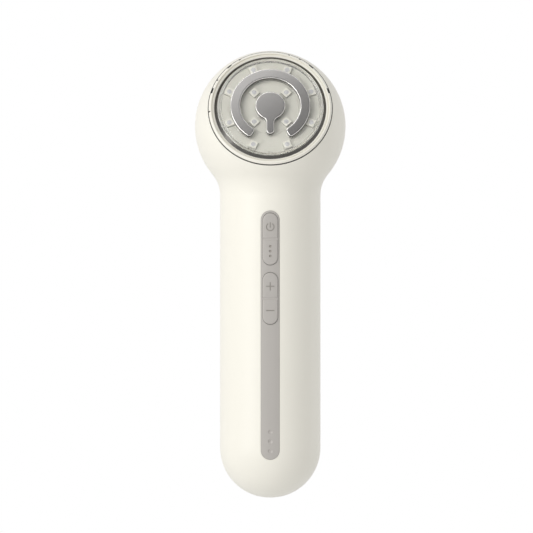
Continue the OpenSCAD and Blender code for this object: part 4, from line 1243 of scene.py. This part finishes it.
# %% Camera
VIEW_WIDTH, DISTANCE, SENSOR = 212.35, 6000, 36
AIM_X, AIM_Z = -1.5, 92.1
camera = bpy.data.cameras.new("camera")
camera.sensor_width = SENSOR
camera.lens = SENSOR * DISTANCE / VIEW_WIDTH
camera.clip_start, camera.clip_end = 0.05, 50
stand = bpy.data.objects.new("camera", camera)
bpy.context.collection.objects.link(stand)
stand.location = Vector((AIM_X, -DISTANCE, AIM_Z)) * MM
stand.rotation_euler = (math.pi / 2, 0, 0)
bpy.context.scene.camera = stand
bpy.context.scene.view_settings.view_transform = "Standard"

# %% [markdown]
# A large soft box on the left gives the casing its slow fall from light to shade, and a narrow one
# far round on the right lifts the edge of the shade.

# %% Soft boxes
MIDDLE = Vector((0, 0, 0.09))


def soft_light(name, turn, lift, distance, width, height, power):
    """A soft box that looks at the middle, turn degrees to the right and lift degrees up."""
    light = bpy.data.lights.new(name, "AREA")
    light.shape = "RECTANGLE"
    light.size, light.size_y = width, height
    light.energy = power
    lamp = bpy.data.objects.new(name, light)
    bpy.context.collection.objects.link(lamp)
    a, e = math.radians(turn), math.radians(lift)
    way = Vector((math.sin(a) * math.cos(e), -math.cos(a) * math.cos(e), math.sin(e)))
    lamp.location = way * distance + MIDDLE
    lamp.rotation_euler = way.to_track_quat("Z", "Y").to_euler()
    return lamp


soft_light("key", turn=-44, lift=15, distance=1.7, width=1.1, height=1.3, power=13.6)
soft_light("rim", turn=118, lift=6, distance=1.2, width=0.4, height=1.0, power=0.8)

# %% [markdown]
# The electrodes are flat metal, so their tone is what they mirror. The camera's line of sight is
# reflected in the face to find that place, and a bright card stands beside it with its edge almost
# on it: the metal's upper left mirrors the card and its lower right does not. The card lights the
# electrodes only, through light linking, because a real one would also wash out the clear cover.

# %% Card for the electrodes
CARD_DISTANCE, CARD_SIZE, CARD_PAST, CARD_POWER, CARD_LEAN = 0.3, 0.3, 0.008, 1.3, 0.75
leftwards = Vector((-1, 0, 0))
mirrored = Vector((0, 1, 0)).reflect(face_axis)
card = soft_light("card", turn=0, lift=0, distance=1, width=CARD_SIZE, height=CARD_SIZE,
                  power=CARD_POWER)
aside = (CARD_LEAN * leftwards - mirrored.cross(leftwards)).normalized()
aim = (head_centre + face_axis * electrode_h) * MM
card.location = aim + mirrored * CARD_DISTANCE + aside * (CARD_SIZE / 2 + CARD_PAST)
across = mirrored.cross(aside)
card.rotation_euler = Matrix((aside, across, mirrored)).transposed().to_euler()
card.visible_diffuse = False
card.visible_camera = False
lit = bpy.data.collections.new("lit_by_card")
for piece in (arc_pad, keyhole_pad):
    lit.objects.link(piece)
card.light_linking.receiver_collection = lit
print("card lies towards", mirrored, "shifted", aside)

# %% [markdown]
# The white background is the world's colour for camera, mirror and glass rays only. Diffuse rays
# see a dimmer, even sky, so the pale casing keeps its shape. The floor lies well below. Most of what
# the camera sees of it is its own white glow, so that its edge hardly shows in the views.

# %% World and floor
SKY, FLOOR_Z, FLOOR_R, GLOW_SHARE = 0.60, -0.3, 2.5, 0.7
world = bpy.data.worlds.new("studio")
bpy.context.scene.world = world
world.use_nodes = True
tree = world.node_tree
backdrop = put(tree.nodes["Background"], Color=(1, 1, 1, 1))


def seen_directly(tree):
    """1 for rays that show the backdrop itself: camera, mirror and glass rays."""
    rays = add(tree, "LightPath")
    most = rays.outputs["Is Camera Ray"]
    for label in ("Is Glossy Ray", "Is Transmission Ray"):
        step = add(tree, "Math")
        step.operation = "MAXIMUM"
        tree.links.new(most, step.inputs[0])
        tree.links.new(rays.outputs[label], step.inputs[1])
        most = step.outputs[0]
    return most


level = add(tree, "MapRange", To_Min=SKY, To_Max=1)
tree.links.new(seen_directly(tree), level.inputs["Value"])
tree.links.new(level.outputs["Result"], backdrop.inputs["Strength"])

clear()
bpy.ops.mesh.primitive_circle_add(vertices=96, radius=FLOOR_R, fill_type="NGON",
                                  location=(0, 0, FLOOR_Z))
floor = bpy.context.object
floor.name = "floor"
paper = bpy.data.materials.new("floor_paper")
paper.use_nodes = True
tree = paper.node_tree
shader = put(tree.nodes["Principled BSDF"], Base_Color=(0.9, 0.9, 0.9, 1), Roughness=0.9,
             Specular_IOR_Level=0)
glow, shade, part = add(tree, "Emission", Strength=1.0), add(tree, "MixShader"), add(tree, "Math")
part.operation = "MULTIPLY"
part.inputs[1].default_value = GLOW_SHARE
tree.links.new(seen_directly(tree), part.inputs[0])
tree.links.new(part.outputs[0], shade.inputs["Fac"])
tree.links.new(shader.outputs["BSDF"], shade.inputs[1])
tree.links.new(glow.outputs["Emission"], shade.inputs[2])
tree.links.new(shade.outputs["Shader"], tree.nodes["Material Output"].inputs["Surface"])
floor.data.materials.append(paper)
floor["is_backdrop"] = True

# %% Measure the bounds of the scene
low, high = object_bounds()
